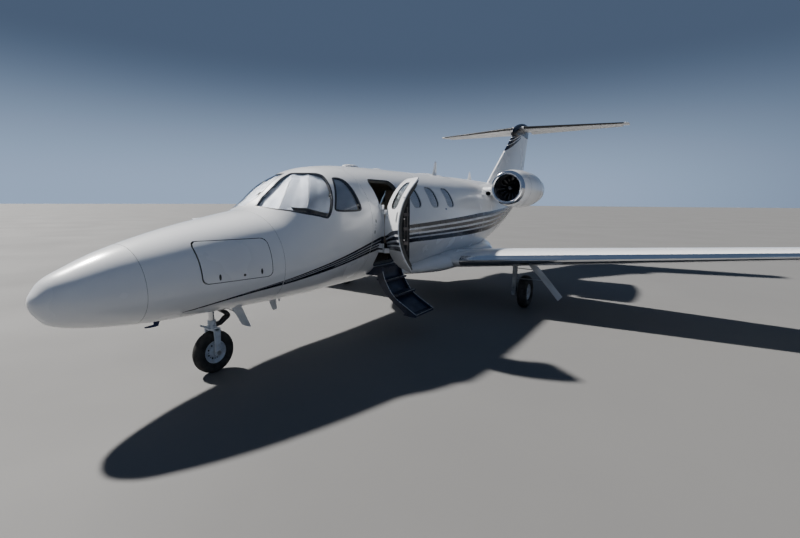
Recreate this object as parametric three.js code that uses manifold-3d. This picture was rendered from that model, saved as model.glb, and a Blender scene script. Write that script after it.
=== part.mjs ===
import * as THREE from "three";
import { mergeVertices } from "three/addons/utils/BufferGeometryUtils.js";
import Module from "manifold-3d";

// A light twin-engined business jet, parked on its gear with the entry door open.
// Millimetres. X points to port, Y towards the tail and Z up, from the ground under the middle.

// Driving dimensions
const LENGTH = 12980;
const SPAN = 14300;
const HEIGHT = 4190;
const TRACK = 3960;
const NOSE_WHEEL_AT = 1480;
const WHEELBASE = 4670;
const WALL = 60;
const GAP = 0.3;
const CLEAR = 8;
const RING_SIDES = 28;
const NOSE_Y = -LENGTH / 2;

// Body sections: behind the nose tip, top, belly, half width, roundness, share of the height
// at which the section is widest. Roundness 2 is an ellipse, and more is squarer.
const BODY = [
  [0, 1040, 1016, 12, 2.0, 0.5],
  [30, 1110, 936, 93, 2.0, 0.5],
  [100, 1196, 849, 166, 2.0, 0.5],
  [250, 1274, 792, 260, 2.0, 0.48],
  [500, 1379, 746, 365, 2.05, 0.46],
  [850, 1484, 710, 480, 2.1, 0.45],
  [1250, 1580, 696, 575, 2.15, 0.45],
  [1700, 1667, 686, 665, 2.2, 0.45],
  [1980, 1724, 678, 710, 2.2, 0.45],
  [2200, 1866, 676, 735, 2.25, 0.44],
  [2500, 2085, 674, 770, 2.35, 0.45],
  [2900, 2228, 668, 800, 2.2, 0.48],
  [3400, 2280, 660, 820, 2.05, 0.5],
  [4200, 2302, 656, 825, 2.0, 0.5],
  [5500, 2311, 656, 825, 2.0, 0.5],
  [6500, 2317, 658, 820, 2.0, 0.5],
  [7500, 2320, 719, 790, 2.0, 0.5],
  [8500, 2313, 880, 700, 2.0, 0.5],
  [9500, 2290, 1120, 560, 2.0, 0.5],
  [10500, 2250, 1420, 390, 2.0, 0.5],
  [11500, 2190, 1750, 200, 2.0, 0.5],
  [12350, 2140, 2010, 60, 2.0, 0.5],
];
const [TOP, BELLY, HALF_WIDTH, ROUNDNESS, WAIST] = [1, 2, 3, 4, 5];
const NOSE_CONE_END = 650;
const NOSE_SECTION_END = 1880;
const COCKPIT_END = 3250;
const ENTRY_END = 4200;
const CABIN_END = 7150;
const TAIL_END = 12350;

// Openings in the body, as side views: behind the nose tip, and height
const WINDOW = { width: 285, height: 330, corner: 95, middle: 1880 };
const PORT_WINDOWS = [4450, 5030, 5615];
const STARBOARD_WINDOWS = [3865, 4450, 5030, 5615];
const DOOR = { front: 3460, back: 4060, sill: 930, top: 2100, corner: 90 };
const DOOR_HINGE = { x: 832, at: 3460, open: 130 };
const DOOR_WINDOW = { at: 3760, width: 150, height: 330, corner: 70 };
const BAGGAGE_DOOR = { front: 1060, back: 1740, sill: 1060, top: 1440, corner: 50 };
const FLOOR_TOP = 900;
const FLOOR_THICK = 40;

// Wing panels: out from the middle, leading edge behind the nose tip, chord, height, thickness
const WING = [
  [0, 5420, 2300, 770, 330],
  [800, 5462, 2138, 787, 306],
  [6950, 5780, 862, 1303, 95],
  [SPAN / 2, 5850, 740, 1320, 40],
];
const HINGE_SHARE = 0.75;
const FLAP = { inner: 960, outer: 4180 };
const AILERON = { inner: 4240, outer: 6780 };

// Fin sections: height, leading edge, trailing edge, thickness
const FIN = [
  [2120, 9190, 12340, 225],
  [2300, 9430, 12430, 220],
  [3900, 11600, 12930, 150],
];
// The bulged cap over the fin, in the same columns, which carries the stabilizer
const CAP = [
  [3690, 11380, 12200, 60],
  [3745, 11285, 12320, 150],
  [3800, 11270, 12925, 176],
  [3880, 11330, 12945, 188],
  [4005, 11590, 12960, 190],
  [4090, 11830, 12965, 166],
  [4150, 12080, 12955, 120],
  [HEIGHT, 12350, 12900, 44],
];
const CAP_BOTTOM = 3800;
const RUDDER = { bottom: 2260, top: 3780, hingeBottom: 11860, hingeTop: 12390 };

// Stabilizer sections: out from the middle, leading edge, chord, height, thickness
const STABILIZER = [
  [0, 11800, 1170, 4005, 105],
  [2780, 12480, 500, 4005, 48],
  [2870, 12560, 400, 4005, 24],
];
const ELEVATOR = { inner: 130, outer: 2700, droop: 12 };

// Engines: place of the intake's middle, then distances back from it and radii
const ENGINE = { x: 1130, at: 7500, z: 2100 };
const LIP_LENGTH = 120;
const NACELLE_LENGTH = 2050;
const ENGINE_SIDES = 24;
const FAN_AT = 360;
const FAN_RADIUS = 256;
const FAN_BLADES = 15;

// Wheels: outer radius, half width of the tyre, rim radius
const NOSE_WHEEL = { radius: 227, half: 56, rim: 118 };
const MAIN_WHEEL = { radius: 280, half: 82, rim: 132 };
const TYRE_SIDES = 20;

const PAINT = { color: 0xf2f3f4, roughness: 0.25, metalness: 0.05 };
const POLISHED = { color: 0xd9dcdf, roughness: 0.15, metalness: 1 };
const GREY_METAL = { color: 0x9fa6ad, roughness: 0.45, metalness: 0.6 };
const DARK_METAL = { color: 0x33363a, roughness: 0.5, metalness: 0.7 };
const GLASS = { color: 0x4a5866, roughness: 0.05, metalness: 0 };
const LEATHER = { color: 0xb9a98f, roughness: 0.7, metalness: 0 };
const TRIM = { color: 0x2a2c30, roughness: 0.8, metalness: 0 };
const TYRE = { color: 0x17181a, roughness: 0.85, metalness: 0 };
const RIM = { color: 0xc4d0dc, roughness: 0.4, metalness: 0.3 };

const wasm = await Module();
wasm.setup();
const jet = new THREE.Group();

const aft = (distance) => NOSE_Y + distance;
const range = (count) => Array.from({ length: count }, (_, n) => n);
const mix = (a, b, share) => a + (b - a) * share;
const signedPower = (value, power) => Math.sign(value) * Math.abs(value) ** power;

// A closed mesh as a solid that can be cut and joined
function solid(geometry) {
  const bare = geometry.clone();
  bare.deleteAttribute("normal");
  bare.deleteAttribute("uv");
  const merged = mergeVertices(bare, 1e-3);
  const index = merged.index.array;
  const kept = [];
  for (let n = 0; n < index.length; n += 3) {
    const [a, b, c] = index.slice(n, n + 3);
    if (a !== b && b !== c && c !== a) kept.push(a, b, c);
  }
  return new wasm.Manifold(new wasm.Mesh({
    numProp: 3,
    vertProperties: new Float32Array(merged.attributes.position.array),
    triVerts: new Uint32Array(kept),
  }));
}

function geometryOf(shape) {
  const mesh = shape.getMesh();
  const geometry = new THREE.BufferGeometry();
  geometry.setAttribute("position", new THREE.BufferAttribute(mesh.vertProperties, 3));
  geometry.setIndex(new THREE.BufferAttribute(mesh.triVerts, 1));
  return geometry;
}

const join = (first, ...others) => others.reduce((whole, other) => whole.add(other), first);
const cut = (first, ...others) => others.reduce((whole, other) => whole.subtract(other), first);

// Adds a finished solid to the jet as a named mesh
function addPiece(name, shape, look, parent = jet) {
  const mesh = new THREE.Mesh(geometryOf(shape), new THREE.MeshStandardMaterial(look));
  mesh.name = name;
  parent.add(mesh);
  return mesh;
}

function moved(geometry, x, y, z) {
  return geometry.translate(x, y, z);
}

// The same solid on the starboard side
function mirrored(shape) {
  const geometry = geometryOf(shape);
  geometry.scale(-1, 1, 1);
  const index = geometry.index.array;
  for (let n = 0; n < index.length; n += 3) {
    [index[n], index[n + 1]] = [index[n + 1], index[n]];
  }
  return solid(geometry);
}

const onSide = (shape, side) => (side > 0 ? shape : mirrored(shape));
const SIDES = [["port", 1], ["starboard", -1]];

// Value of a table's column at a place, on smooth curves that never overshoot a row
function readTable(rows, column, at) {
  const last = rows.length - 1;
  const place = Math.min(Math.max(at, rows[0][0]), rows[last][0]);
  const row = Math.max(0, rows.findIndex((next) => place <= next[0]) - 1);
  const rise = (n) => (rows[n + 1][column] - rows[n][column]) / (rows[n + 1][0] - rows[n][0]);
  const slope = (n) => {
    if (n === 0) return rise(0);
    if (n === last) return rise(last - 1);
    const [before, after] = [rise(n - 1), rise(n)];
    if (before * after <= 0) return 0;
    return 2 * before * after / (before + after);
  };
  const width = rows[row + 1][0] - rows[row][0];
  const t = (place - rows[row][0]) / width;
  return (1 + 2 * t) * (1 - t) ** 2 * rows[row][column]
    + t * (1 - t) ** 2 * width * slope(row)
    + t * t * (3 - 2 * t) * rows[row + 1][column]
    + t * t * (t - 1) * width * slope(row + 1);
}

// A closed solid through rings that have the same number of corners
function loft(rings) {
  const corners = rings[0].length;
  const middle = (ring) => ring.reduce((sum, p) => sum.add(p), new THREE.Vector3()).divideScalar(corners);
  const points = [...rings.flat(), middle(rings[0]), middle(rings.at(-1))];
  const faces = [];
  rings.slice(1).forEach((_, ring) => {
    range(corners).forEach((n) => {
      const next = (n + 1) % corners;
      const [a, b] = [ring * corners + n, ring * corners + next];
      const [c, d] = [b + corners, a + corners];
      const portHalf = points[a].x + points[c].x > 0;
      faces.push(...(portHalf ? [a, b, c, a, c, d] : [a, b, d, b, c, d]));
    });
  });
  const lastRing = (rings.length - 1) * corners;
  range(corners).forEach((n) => {
    const next = (n + 1) % corners;
    faces.push(points.length - 2, next, n);
    faces.push(points.length - 1, lastRing + n, lastRing + next);
  });
  const geometry = new THREE.BufferGeometry().setFromPoints(points);
  geometry.setIndex(faces);
  if (volumeOf(geometry) < 0) {
    for (let n = 0; n < faces.length; n += 3) [faces[n], faces[n + 1]] = [faces[n + 1], faces[n]];
    geometry.setIndex(faces);
  }
  return solid(geometry);
}

function volumeOf(geometry) {
  const [p, index] = [geometry.attributes.position, geometry.index.array];
  const [a, b, c] = [new THREE.Vector3(), new THREE.Vector3(), new THREE.Vector3()];
  let sum = 0;
  for (let n = 0; n < index.length; n += 3) {
    a.fromBufferAttribute(p, index[n]);
    b.fromBufferAttribute(p, index[n + 1]);
    c.fromBufferAttribute(p, index[n + 2]);
    sum += a.dot(b.cross(c));
  }
  return sum / 6;
}

function box(x0, x1, y0, y1, z0, z1) {
  const geometry = new THREE.BoxGeometry(x1 - x0, y1 - y0, z1 - z0);
  return solid(moved(geometry, (x0 + x1) / 2, (y0 + y1) / 2, (z0 + z1) / 2));
}

// A round bar, or a cone, between two points
function rod(from, to, radius, sides = 12, endRadius = radius) {
  const [start, end] = [new THREE.Vector3(...from), new THREE.Vector3(...to)];
  const along = end.clone().sub(start);
  const geometry = new THREE.CylinderGeometry(endRadius, radius, along.length(), sides);
  const turn = new THREE.Quaternion().setFromUnitVectors(
    new THREE.Vector3(0, 1, 0), along.clone().normalize());
  geometry.applyQuaternion(turn);
  return solid(moved(geometry, ...start.add(end).divideScalar(2).toArray()));
}

// A flat outline pushed along Z, then turned so that its plane is the one named
const PLANES = {
  xy: [[1, 0, 0], [0, 1, 0], [0, 0, 1]],
  yz: [[0, 1, 0], [0, 0, 1], [1, 0, 0]],
  xz: [[1, 0, 0], [0, 0, 1], [0, -1, 0]],
};
function prism(plane, outline, from, to) {
  const shape = new THREE.Shape(outline.map(([u, v]) => new THREE.Vector2(u, v)));
  const geometry = new THREE.ExtrudeGeometry(shape, { depth: to - from, bevelEnabled: false });
  const start = plane === "xz" ? -to : from;
  moved(geometry, 0, 0, start);
  const [u, v, w] = PLANES[plane].map((axis) => new THREE.Vector3(...axis));
  return solid(geometry.applyMatrix4(new THREE.Matrix4().makeBasis(u, v, w)));
}

// Corners of a rectangle with round corners
function roundedOutline(u0, u1, v0, v1, corner, steps = 3) {
  const centres = [[u1 - corner, v0 + corner], [u1 - corner, v1 - corner],
    [u0 + corner, v1 - corner], [u0 + corner, v0 + corner]];
  return centres.flatMap(([u, v], quarter) => range(steps + 1).map((n) => {
    const turn = (quarter - 1 + n / steps) * Math.PI / 2;
    return [u + corner * Math.cos(turn), v + corner * Math.sin(turn)];
  }));
}

// One ring of the body's skin, moved in by inset
function bodyRing(at, inset = 0) {
  const [top, belly, half, roundness, waist] = [TOP, BELLY, HALF_WIDTH, ROUNDNESS, WAIST]
    .map((column) => readTable(BODY, column, at));
  const middle = mix(belly, top, waist);
  return range(RING_SIDES).map((n) => {
    const turn = 2 * Math.PI * n / RING_SIDES;
    const across = signedPower(Math.cos(turn), 2 / roundness);
    const up = signedPower(Math.sin(turn), 2 / roundness);
    const reach = up > 0 ? top - middle : middle - belly;
    return new THREE.Vector3((half - inset) * across, aft(at), middle + (reach - inset) * up);
  });
}

// The body's solid between two places, moved in by inset. Its sections stand at the table's rows
// and at the joints, so that pieces that start and end there share their faces.
const JOINTS = [NOSE_CONE_END, NOSE_SECTION_END, COCKPIT_END, CABIN_END];
const PLACES = [...BODY.map((row) => row[0]), ...JOINTS].sort((a, b) => a - b);
function bodySolid(from, to, inset = 0) {
  const places = PLACES.filter((at) => at > from + 1 && at < to - 1);
  return loft([from, ...places, to].map((at) => bodyRing(at, inset)));
}

function bodyHalfWidthAt(at, z) {
  const [top, belly, half, roundness, waist] = [TOP, BELLY, HALF_WIDTH, ROUNDNESS, WAIST]
    .map((column) => readTable(BODY, column, at));
  const middle = mix(belly, top, waist);
  const up = (z - middle) / (z > middle ? top - middle : middle - belly);
  return half * Math.max(0, 1 - Math.abs(up) ** roundness) ** (1 / roundness);
}

// A symmetric wing section: shares of the chord, front to back
const SECTION = [0, 0.0125, 0.05, 0.15, 0.3, 0.5, HINGE_SHARE, 1];
const sectionHalf = (share) => 5 * (0.2969 * Math.sqrt(share) - 0.126 * share
  - 0.3516 * share ** 2 + 0.2843 * share ** 3 - 0.1015 * share ** 4);

function sectionRing(place) {
  const upper = SECTION.map((share) => place(share, sectionHalf(share)));
  const lower = SECTION.slice(1).map((share) => place(share, -sectionHalf(share))).reverse();
  return [...upper, ...lower];
}

// A wing-like solid from a table whose rows are out, leading edge, chord, height and thickness
function wingSolid(rows) {
  const bothSides = [...rows.slice(1).reverse().map(([out, ...rest]) => [-out, ...rest]), ...rows];
  return loft(bothSides.map(([out, lead, chord, z, thick]) => sectionRing((share, half) =>
    new THREE.Vector3(out, aft(lead + share * chord), z + half * thick))));
}

const wingAt = (rows, column, out) => {
  const next = rows.findIndex((row, n) => n > 0 && out <= row[0]);
  const [a, b] = [rows[next - 1], rows[next]];
  return mix(a[column], b[column], (out - a[0]) / (b[0] - a[0]));
};

// Body: the nose cone, the nose section with its bay, the cockpit, the cabin and the tail

const noseCone = bodySolid(0, NOSE_CONE_END);
addPiece("nose_cone", noseCone, PAINT);

const sideOutline = (opening) => roundedOutline(aft(opening.front), aft(opening.back),
  opening.sill, opening.top, opening.corner);
const windowOutline = (at, margin = 0) => roundedOutline(
  aft(at - WINDOW.width / 2) + margin, aft(at + WINDOW.width / 2) - margin,
  WINDOW.middle - WINDOW.height / 2 + margin, WINDOW.middle + WINDOW.height / 2 - margin,
  WINDOW.corner);
// The layer of the body's wall between two depths
const wallLayer = (from, to, outer, inner) =>
  cut(bodySolid(from, to, outer), bodySolid(from - 1, to + 1, inner));
const shrunk = (opening, margin) => ({
  front: opening.front + margin, back: opening.back - margin,
  sill: opening.sill + margin, top: opening.top - margin, corner: opening.corner });

// Aerials on the skin. Each row is one level: height, front and back behind the nose, half width.
// The first level lies inside the wall that carries the aerial.
const AERIALS = {
  bellyBlade: [[700, 2220, 2350, 12], [600, 2255, 2358, 9], [497, 2295, 2366, 5]],
  drainMast: [[700, 2386, 2424, 9], [585, 2392, 2420, 6]],
  frontDome: [[2262, 3660, 4040, 78], [2302, 3672, 4030, 74], [2322, 3730, 3980, 48], [2332, 3800, 3900, 18]],
  middleDome: [[2280, 4400, 4630, 58], [2310, 4412, 4618, 52], [2322, 4460, 4570, 24]],
  roofBlade: [[2290, 6375, 6580, 15], [2440, 6440, 6576, 10], [2593, 6500, 6560, 4]],
  tailBlade: [[2296, 8147, 8384, 15], [2400, 8188, 8340, 9], [2498, 8226, 8284, 4]],
};
const LENS = [[0, 0], [0.15, 0.7], [0.4, 1], [0.7, 0.7], [1, 0], [0.7, -0.7], [0.4, -1], [0.15, -0.7]];
const aerial = (rows) => loft(rows.map(([z, front, back, half]) =>
  LENS.map(([share, out]) => new THREE.Vector3(half * out, aft(mix(front, back, share)), z))));

// The air-speed probe: a short mast under the nose that carries a tube pointing forward
const PROBE = { x: 50, mast: [[735, 868, 936, 9], [664, 862, 908, 8]], tip: 785, root: 905, z: 662, radius: 11 };
function probe() {
  const mast = solid(moved(geometryOf(aerial(PROBE.mast)), PROBE.x, 0, 0));
  return join(mast, rod([PROBE.x, aft(PROBE.root), PROBE.z], [PROBE.x, aft(PROBE.tip), PROBE.z + 3],
    PROBE.radius, 10, PROBE.radius * 0.6));
}

const BAY = { half: 500, front: 1040, back: 1760, bottom: 1030, top: 1470 };
const NOSE_WELL = { half: 130, front: 1330, back: 1640, top: 960 };
function noseSection() {
  const shell = bodySolid(NOSE_CONE_END + GAP, NOSE_SECTION_END);
  const bay = box(-BAY.half, BAY.half, aft(BAY.front), aft(BAY.back), BAY.bottom, BAY.top);
  const insideBay = bay.intersect(bodySolid(BAY.front - 1, BAY.back + 1, WALL / 2));
  const doorways = prism("yz", sideOutline(BAGGAGE_DOOR), -900, 900);
  const well = box(-NOSE_WELL.half, NOSE_WELL.half, aft(NOSE_WELL.front), aft(NOSE_WELL.back),
    500, NOSE_WELL.top);
  const hollow = cut(shell, insideBay, doorways.intersect(wallLayer(850, 1880, -20, WALL / 2)), well);
  return join(hollow, probe(), ...bodyKnuckles, ...bodyKnuckles.map(mirrored));
}

// Each nose baggage door swings up about a line over its top edge, just outside the skin.
// Pairs of knuckles, one on the body and one on the door, share that line on short arms.
const BAGGAGE_HINGE = { z: 1444, out: 8, radius: 6, arm: 5, length: 48, places: [1160, 1640] };
const BAGGAGE_SKIN = 14;
const onSkin = (at, z) => new THREE.Vector3(bodyHalfWidthAt(at, z), aft(at), z);
function baggageKnuckle(near, far, rise) {
  const { z, out, radius, arm, places } = BAGGAGE_HINGE;
  const [start, end] = places.map((at) => onSkin(at, z));
  const along = end.clone().sub(start).normalize();
  const upSkin = start.clone().sub(onSkin(places[0], z - 40));
  const outward = along.clone().cross(upSkin).normalize();
  const onLine = (at) => start.clone().addScaledVector(along, at).addScaledVector(outward, out);
  const middle = onLine((near + far) / 2);
  const foot = onSkin(middle.y - NOSE_Y, z + rise).addScaledVector(outward, -arm);
  return join(rod(onLine(near).toArray(), onLine(far).toArray(), radius, 8),
    rod(middle.toArray(), foot.toArray(), arm, 8));
}
const KNUCKLE_STARTS = [0, BAGGAGE_HINGE.places[1] - BAGGAGE_HINGE.places[0]];
const bodyKnuckles = KNUCKLE_STARTS.map((at) => baggageKnuckle(at - BAGGAGE_HINGE.length, at, 26));
const doorKnuckles = KNUCKLE_STARTS.map((at) =>
  baggageKnuckle(at + GAP, at + BAGGAGE_HINGE.length, -32));
function baggageDoor() {
  const outline = sideOutline({ ...shrunk(BAGGAGE_DOOR, 6), front: BAGGAGE_DOOR.front + 11 });
  return join(wallLayer(850, 1880, 0, BAGGAGE_SKIN).intersect(prism("yz", outline, 100, 900)),
    ...doorKnuckles);
}
addPiece("nose_section", noseSection(), PAINT);
SIDES.forEach(([name, side]) => {
  addPiece(`baggage_door_${name}`, onSide(baggageDoor(), side), PAINT);
});

// Corners of a windshield pane of the port side, on the body's skin: out, behind the nose, up
const PANE = [[35, 2025, 1745], [35, 2612, 2140], [140, 2640, 2142], [275, 2700, 2141],
  [415, 2734, 2097], [564, 2686, 1977], [658, 2619, 1838], [710, 2558, 1703], [732, 2483, 1610],
  [655, 2327, 1651], [560, 2213, 1680], [410, 2098, 1705], [246, 2040, 1726]];
function paneCutter(corners, margin) {
  const points = corners.map(([x, at, z]) => new THREE.Vector3(x, aft(at), z));
  const centre = points.reduce((sum, p) => sum.add(p), new THREE.Vector3()).divideScalar(points.length);
  const out = new THREE.Vector3();
  points.forEach((p, n) => out.add(p.clone().sub(centre).cross(
    points[(n + 1) % points.length].clone().sub(centre))));
  out.normalize();
  if (out.z < 0) out.negate();
  const across = points[1].clone().sub(points[0]).projectOnPlane(out).normalize();
  const up = out.clone().cross(across);
  const flat = points.map((p) => p.clone().sub(centre)).map((p) => {
    const reach = 1 - margin / p.length();
    return [p.dot(across) * reach, p.dot(up) * reach];
  });
  const shape = new THREE.Shape(flat.map(([u, v]) => new THREE.Vector2(u, v)));
  const depth = 500;
  const geometry = new THREE.ExtrudeGeometry(shape, { depth, bevelEnabled: false });
  moved(geometry, 0, 0, -depth / 2);
  geometry.applyMatrix4(new THREE.Matrix4().makeBasis(across, up, out).setPosition(centre));
  return solid(geometry);
}
const SIDE_PANE = [[2645, 1690], [3040, 1690], [3074, 1722], [3060, 1820], [3036, 2010],
  [3012, 2062], [2960, 2084], [2880, 2084], [2840, 2064], [2632, 1722]];
const sidePaneCutter = (margin) => {
  const middle = [2900, 1850];
  return prism("yz", SIDE_PANE.map(([at, z]) => {
    const reach = 1 - margin / Math.hypot(at - middle[0], z - middle[1]);
    return [aft(middle[0] + (at - middle[0]) * reach), middle[1] + (z - middle[1]) * reach];
  }), 300, 1000);
};
const PANE_THICK = 20;
const BULKHEAD_AT = 1955;
function cockpitSection() {
  const shell = cut(bodySolid(NOSE_SECTION_END + GAP, COCKPIT_END - GAP),
    bodySolid(BULKHEAD_AT, COCKPIT_END + 10, WALL));
  const openings = SIDES.flatMap(([, side]) => [onSide(paneCutter(PANE, 0), side),
    onSide(sidePaneCutter(0), side)]);
  return join(cut(shell, ...openings), aerial(AERIALS.bellyBlade), aerial(AERIALS.drainMast));
}
addPiece("cockpit_section", cockpitSection(), PAINT);
const paneLayer = wallLayer(NOSE_SECTION_END, COCKPIT_END, 2, 2 + PANE_THICK);
SIDES.forEach(([name, side]) => {
  addPiece(`windshield_${name}`, onSide(paneLayer.intersect(paneCutter(PANE, 0.7)), side), GLASS);
  addPiece(`cockpit_window_${name}`,
    onSide(paneLayer.intersect(sidePaneCutter(0.7)), side), GLASS);
});

// The cabin's two sections: the entry section has the doorway, and the cabin the rear windows
const AFT_BULKHEAD = 70;
const windowTools = (places, x0, x1) => places.map((at) => prism("yz", windowOutline(at), x0, x1));
const starboardTools = windowTools(STARBOARD_WINDOWS, -1000, -300);
function entrySection() {
  const shell = cut(bodySolid(COCKPIT_END, ENTRY_END - GAP),
    bodySolid(COCKPIT_END - 10, ENTRY_END + 10, WALL));
  const doorway = prism("yz", sideOutline(DOOR), 300, 1000);
  return join(cut(shell, doorway, ...starboardTools), aerial(AERIALS.frontDome),
    ...HINGE_HEIGHTS.map(fixedKnuckle));
}
function cabinSection() {
  const shell = cut(bodySolid(ENTRY_END, CABIN_END),
    bodySolid(ENTRY_END - 10, CABIN_END - AFT_BULKHEAD, WALL));
  return join(cut(shell, ...windowTools(PORT_WINDOWS, 300, 1000), ...starboardTools),
    aerial(AERIALS.middleDome), aerial(AERIALS.roofBlade));
}

// Two door hinges: a fixed knuckle on the body, and a lug on the door under it
const HINGE_HEIGHTS = [1200, 1700];
const KNUCKLE = { radius: 10, height: 60 };
const fixedKnuckle = (z) => join(
  rod([DOOR_HINGE.x, aft(DOOR_HINGE.at), z], [DOOR_HINGE.x, aft(DOOR_HINGE.at), z + KNUCKLE.height],
    KNUCKLE.radius),
  box(DOOR_HINGE.x - 80, DOOR_HINGE.x + KNUCKLE.radius - 2, aft(DOOR_HINGE.at) - 36,
    aft(DOOR_HINGE.at) - 3, z, z + KNUCKLE.height));
const doorLug = (z) => join(
  rod([DOOR_HINGE.x, aft(DOOR_HINGE.at), z - KNUCKLE.height - GAP],
    [DOOR_HINGE.x, aft(DOOR_HINGE.at), z - GAP], KNUCKLE.radius),
  box(DOOR_HINGE.x - 110, DOOR_HINGE.x + KNUCKLE.radius - 2, aft(DOOR_HINGE.at) + 6,
    aft(DOOR_HINGE.at) + 70, z - KNUCKLE.height - GAP, z - GAP));
addPiece("entry_section", entrySection(), PAINT);
addPiece("cabin_section", cabinSection(), PAINT);

// The entry door: a thin skin, and a pan behind it that stays clear of the jamb as it swings
const DOOR_SKIN = 14;
const DOOR_PAN_INSET = 46;
const doorWindowOutline = (margin) => roundedOutline(
  aft(DOOR_WINDOW.at - DOOR_WINDOW.width / 2) + margin,
  aft(DOOR_WINDOW.at + DOOR_WINDOW.width / 2) - margin,
  WINDOW.middle - WINDOW.height / 2 + margin, WINDOW.middle + WINDOW.height / 2 - margin,
  DOOR_WINDOW.corner);
function entryDoor() {
  const [from, to] = [COCKPIT_END, 4200];
  const skinOutline = sideOutline({ ...shrunk(DOOR, CLEAR), front: DOOR.front + 6, back: DOOR.back - 12 });
  const panOutline = sideOutline(shrunk(DOOR, DOOR_PAN_INSET));
  const skin = wallLayer(from, to, 0, DOOR_SKIN).intersect(prism("yz", skinOutline, 300, 1000));
  const pan = wallLayer(from, to, DOOR_SKIN - 1, WALL).intersect(prism("yz", panOutline, 300, 1000));
  return cut(join(skin, pan, ...HINGE_HEIGHTS.map(doorLug)),
    prism("yz", doorWindowOutline(0), 300, 1000));
}
const doorGlass = () => wallLayer(COCKPIT_END, 4200, 2, 30)
  .intersect(prism("yz", doorWindowOutline(0.6), 300, 1000));

const doorGroup = new THREE.Group();
doorGroup.position.set(DOOR_HINGE.x, aft(DOOR_HINGE.at), 0);
doorGroup.rotation.z = THREE.MathUtils.degToRad(-DOOR_HINGE.open);
jet.add(doorGroup);
[["entry_door", entryDoor(), PAINT], ["entry_door_window", doorGlass(), GLASS]]
  .forEach(([name, shape, look]) => {
    const mesh = addPiece(name, shape, look, doorGroup);
    mesh.position.set(-DOOR_HINGE.x, -aft(DOOR_HINGE.at), 0);
  });

// Window panes of one side, joined by the strip of lining that carries them
function windowBand(places) {
  const strip = wallLayer(COCKPIT_END, CABIN_END, WALL + GAP, WALL + 14).intersect(
    prism("yz", roundedOutline(aft(places[0] - 230), aft(places.at(-1) + 230), 1640, 2110, 60), 300, 1000));
  const panes = places.map((at) => wallLayer(COCKPIT_END, CABIN_END, 3, WALL + 2)
    .intersect(prism("yz", windowOutline(at, 0.6), 300, 1000)));
  return join(strip, ...panes);
}
addPiece("window_band_port", windowBand(PORT_WINDOWS), GLASS);
addPiece("window_band_starboard", mirrored(windowBand(STARBOARD_WINDOWS)), GLASS);

const TAIL_WALL = 30;
function tailSection() {
  return join(cut(bodySolid(CABIN_END + GAP, TAIL_END), bodySolid(CABIN_END - 10, 11300, TAIL_WALL)),
    aerial(AERIALS.tailBlade));
}
addPiece("tail_section", tailSection(), PAINT);

// Floors, seats and the instrument panel
const insideCabin = bodySolid(BULKHEAD_AT + 1, CABIN_END - AFT_BULKHEAD - 1, WALL + GAP);
const floorSlab = (from, to) => box(-900, 900, aft(from), aft(to), FLOOR_TOP - FLOOR_THICK, FLOOR_TOP)
  .intersect(insideCabin);
// A seat: base, cushion, back and headrest, facing the nose when facing is 1
function seat(x, at, facing) {
  const part = (half, front, back, z0, z1) => {
    const ends = [aft(at + facing * front), aft(at + facing * back)];
    return box(x - half, x + half, Math.min(...ends), Math.max(...ends), z0, z1);
  };
  return join(part(140, -160, 180, FLOOR_TOP - 5, FLOOR_TOP + 250),
    part(230, -240, 240, FLOOR_TOP + 245, FLOOR_TOP + 390),
    part(225, 160, 270, FLOOR_TOP + 380, FLOOR_TOP + 900),
    part(130, 190, 260, FLOOR_TOP + 895, FLOOR_TOP + 1080)).intersect(insideCabin);
}
const PILOT_SEATS = [[330, 2960, 1], [-330, 2960, 1]];
const CABIN_SEATS = [[400, 4560, -1], [-400, 4560, -1], [400, 5560, 1], [-400, 5560, 1],
  [400, 6480, 1], [-400, 6480, 1]];
const FLOOR_SPLIT = 3320;
addPiece("cockpit_floor", join(floorSlab(BULKHEAD_AT + 1, FLOOR_SPLIT - GAP),
  ...PILOT_SEATS.map((place) => seat(...place))), LEATHER);
addPiece("cabin_floor", join(floorSlab(FLOOR_SPLIT, CABIN_END - AFT_BULKHEAD - 1),
  ...CABIN_SEATS.map((place) => seat(...place))), LEATHER);

function instrumentPanel() {
  const board = box(-800, 800, aft(2290), aft(2350), 1180, 1640);
  const shield = box(-800, 800, aft(2130), aft(2400), 1600, 1640);
  const pedestal = box(-130, 130, aft(2300), aft(2560), FLOOR_TOP + GAP, 1200);
  const wheels = [330, -330].map((x) => join(
    rod([x, aft(2340), 1330], [x, aft(2560), 1330], 14, 8),
    box(x - 140, x + 140, aft(2545), aft(2575), 1310, 1350),
    box(x - 140, x - 110, aft(2545), aft(2575), 1310, 1430),
    box(x + 110, x + 140, aft(2545), aft(2575), 1310, 1430)));
  return join(board, shield, pedestal, ...wheels).intersect(insideCabin);
}
addPiece("instrument_panel", instrumentPanel(), TRIM);

// Entry stair: two curved sides, three treads and a top step against the body under the sill
const STAIR = { front: 3560, back: 4050, side: 18, depth: 190 };
const TREADS = [[650, 735], [800, 545], [1085, 300]];
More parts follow.
